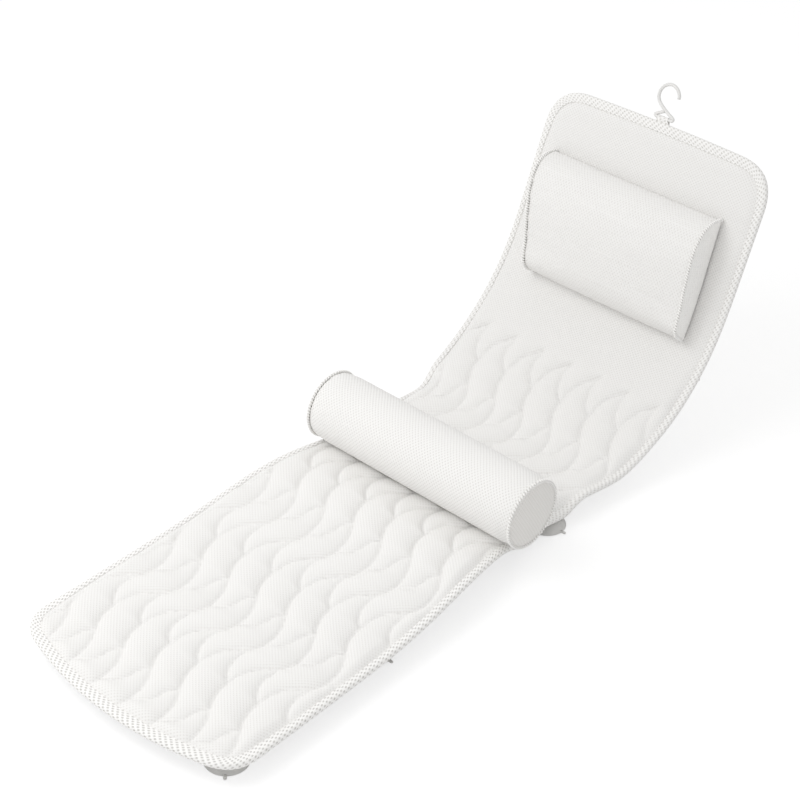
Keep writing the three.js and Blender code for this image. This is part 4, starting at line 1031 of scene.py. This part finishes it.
# The mat
foot_mat = mat_part("foot_padding", None, MAT_SPLIT - SPLIT_GAP)
seat_mat = mat_part("seat_and_back_padding", MAT_SPLIT + SPLIT_GAP, None)
foot_band = band("foot_edge_band", True)
head_band = band("head_edge_band", False)
wear(foot_mat, quilt_cloth, None, "quilting", "foot_quilted_top", "foot_base_mesh", "foot_spacer_core")
wear(seat_mat, quilt_cloth, None, "quilting", "seat_quilted_top", "seat_base_mesh", "seat_spacer_core",
     "back_top_mesh", "back_base_mesh", "back_spacer_core")
wear(foot_band, foot_cloth, None, "binding", "foot_binding")
wear(head_band, head_cloth, None, "binding", "seat_binding_left", "seat_binding_right", "back_binding")
for piece in (foot_mat, foot_band):
    lay(0, 420, 0).tolist()
    lay(0, 475, 0).tolist()
    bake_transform(piece)
for piece in (seat_mat, head_band):
    lay(0, 800, 0).tolist()
    lay(0, 950, 0).tolist()
    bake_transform(piece)

# The bolster
roll = bolster_cover()
wear(roll, cover_cloth, "bolster", "mesh", "bolster_cover", "bolster_core")
for word, side in (("left", -1), ("right", 1)):
    wear(bolster_disc(f"bolster_end_{word}", side), shaded_end_cloth, "bolster", "mesh", f"bolster_disc_{word}")
    wear(bolster_bead(f"bolster_bead_{word}", side), bead_thread, "bolster", "bead", f"bolster_piping_{word}")
wear(strip("bolster_tape", BOLSTER_ACROSS, BOLSTER_ALONG, BOLSTER_TAPE, BOLSTER_TAPE_LEVEL),
     tape, "bolster", "strip", "bolster_hook_strip")
wear(strip("seat_tape", BOLSTER_ACROSS, BOLSTER_ALONG, BOLSTER_TAPE, SEAT_TAPE_LEVEL),
     tape, "seat", "strip", "seat_loop_strip")

# The head pillow
head_pillow = pillow()
wear(head_pillow, pillow_cloth, "pillow", "mesh", "pillow_cover", "pillow_core")
for word, side in (("left", -1), ("right", 1)):
    wear(pillow_gusset(f"head_pillow_end_{word}", side),
         lit_gusset_cloth, "pillow", "mesh", f"pillow_gusset_{word}")
    wear(pillow_seam(f"head_pillow_seam_{word}", side), seam_thread, "pillow", "bead", f"pillow_seam_{word}")
wear(strip("pillow_tape", 0, PILLOW_TAPE_ALONG, PILLOW_TAPE, PILLOW_TAPE_LEVEL),
     tape, "pillow", "strip", "pillow_hook_strip")
wear(strip("back_tape", 0, PILLOW_TAPE_ALONG, PILLOW_TAPE, BACK_TAPE_LEVEL),
     tape, "back", "strip", "back_loop_strip")

make_cups(cup_material())
wear(hook(), white_plastic, "hook", "hook", "hook")
wear(tab(), head_cloth, "back", "binding", "hanging_tab")

# Floor, light and camera
FLOOR_SIZE, FLOOR_DROP = 30, 0.0002
FLOOR_GLOW, FLOOR_GLOW_SHARE = 1.14, 0.6
SKY_BELOW, SKY_ABOVE = 0.615, 0.805


def floor_material():
    """White ground whose shadows are softened for the camera alone."""
    nodes = Nodes("floor")
    nodes.shader.inputs["Base Color"].default_value = (0.97, 0.97, 0.97, 1)
    nodes.surface(roughness=1, specular=0)
    glow = nodes.add("ShaderNodeEmission")
    glow.inputs["Strength"].default_value = FLOOR_GLOW
    camera_ray = nodes.add("ShaderNodeLightPath").outputs["Is Camera Ray"]
    mixed = nodes.add("ShaderNodeMixShader")
    nodes.link(nodes.math("MULTIPLY", camera_ray, FLOOR_GLOW_SHARE), mixed.inputs[0])
    nodes.link(nodes.shader.outputs[0], mixed.inputs[1])
    nodes.link(glow.outputs[0], mixed.inputs[2])
    nodes.link(mixed.outputs[0], nodes.tree.nodes["Material Output"].inputs["Surface"])
    return nodes.material


bpy.ops.mesh.primitive_plane_add(size=FLOOR_SIZE, location=(0, 0, -FLOOR_DROP))
floor = bpy.context.object
floor.name = "floor"
floor.data.materials.append(floor_material())

world = bpy.data.worlds.new("studio")
bpy.context.scene.world = world
world.use_nodes = True
tree = world.node_tree
background = tree.nodes["Background"]
background.inputs["Color"].default_value = (1, 1, 1, 1)
direction = tree.nodes.new("ShaderNodeSeparateXYZ")
tree.links.new(tree.nodes.new("ShaderNodeTexCoord").outputs["Generated"], direction.inputs[0])
brighter_above = tree.nodes.new("ShaderNodeMapRange")
tree.links.new(direction.outputs["Z"], brighter_above.inputs["Value"])
brighter_above.inputs["To Min"].default_value = SKY_BELOW
brighter_above.inputs["To Max"].default_value = SKY_ABOVE
tree.links.new(brighter_above.outputs[0], background.inputs["Strength"])
seen = tree.nodes.new("ShaderNodeBackground")
seen.inputs["Color"].default_value = (1, 1, 1, 1)
seen.inputs["Strength"].default_value = 1
path_node = tree.nodes.new("ShaderNodeLightPath")
mixer = tree.nodes.new("ShaderNodeMixShader")
tree.links.new(path_node.outputs["Is Camera Ray"], mixer.inputs[0])
tree.links.new(background.outputs[0], mixer.inputs[1])
tree.links.new(seen.outputs[0], mixer.inputs[2])
tree.links.new(mixer.outputs[0], tree.nodes["World Output"].inputs["Surface"])


def soft_lamp(name, place, aim, power, size):
    """A square lamp that shines from its place towards its aim."""
    lamp = bpy.data.lights.new(name, "AREA")
    lamp.energy = power
    lamp.size = size
    holder = bpy.data.objects.new(name, lamp)
    bpy.context.scene.collection.objects.link(holder)
    holder.location = place
    holder.rotation_mode = "QUATERNION"
    holder.rotation_quaternion = (Vector(place) - Vector(aim)).to_track_quat("Z", "Y")


soft_lamp("key light", place=(-0.8, -1.2, 2.0), aim=(0, 0, 0.1), power=21, size=1.5)

camera = bpy.data.cameras.new("camera")
camera.lens = 87.155
camera.sensor_width = 36
view = bpy.data.objects.new("camera", camera)
bpy.context.scene.collection.objects.link(view)
right = Vector((0.744633, 0.666997, 0.025236))
down = Vector((0.402366, -0.418390, -0.814280))
forward = Vector((-0.532563, 0.616494, -0.579924))
stands_at = Vector((1.36805, -1.61294, 1.70825))
rows = [(right[k], -down[k], -forward[k], stands_at[k]) for k in range(3)]
view.matrix_world = Matrix(rows + [(0, 0, 0, 1)])
camera.clip_end = 100
bpy.context.scene.camera = view
bpy.context.scene.view_settings.view_transform = "Standard"
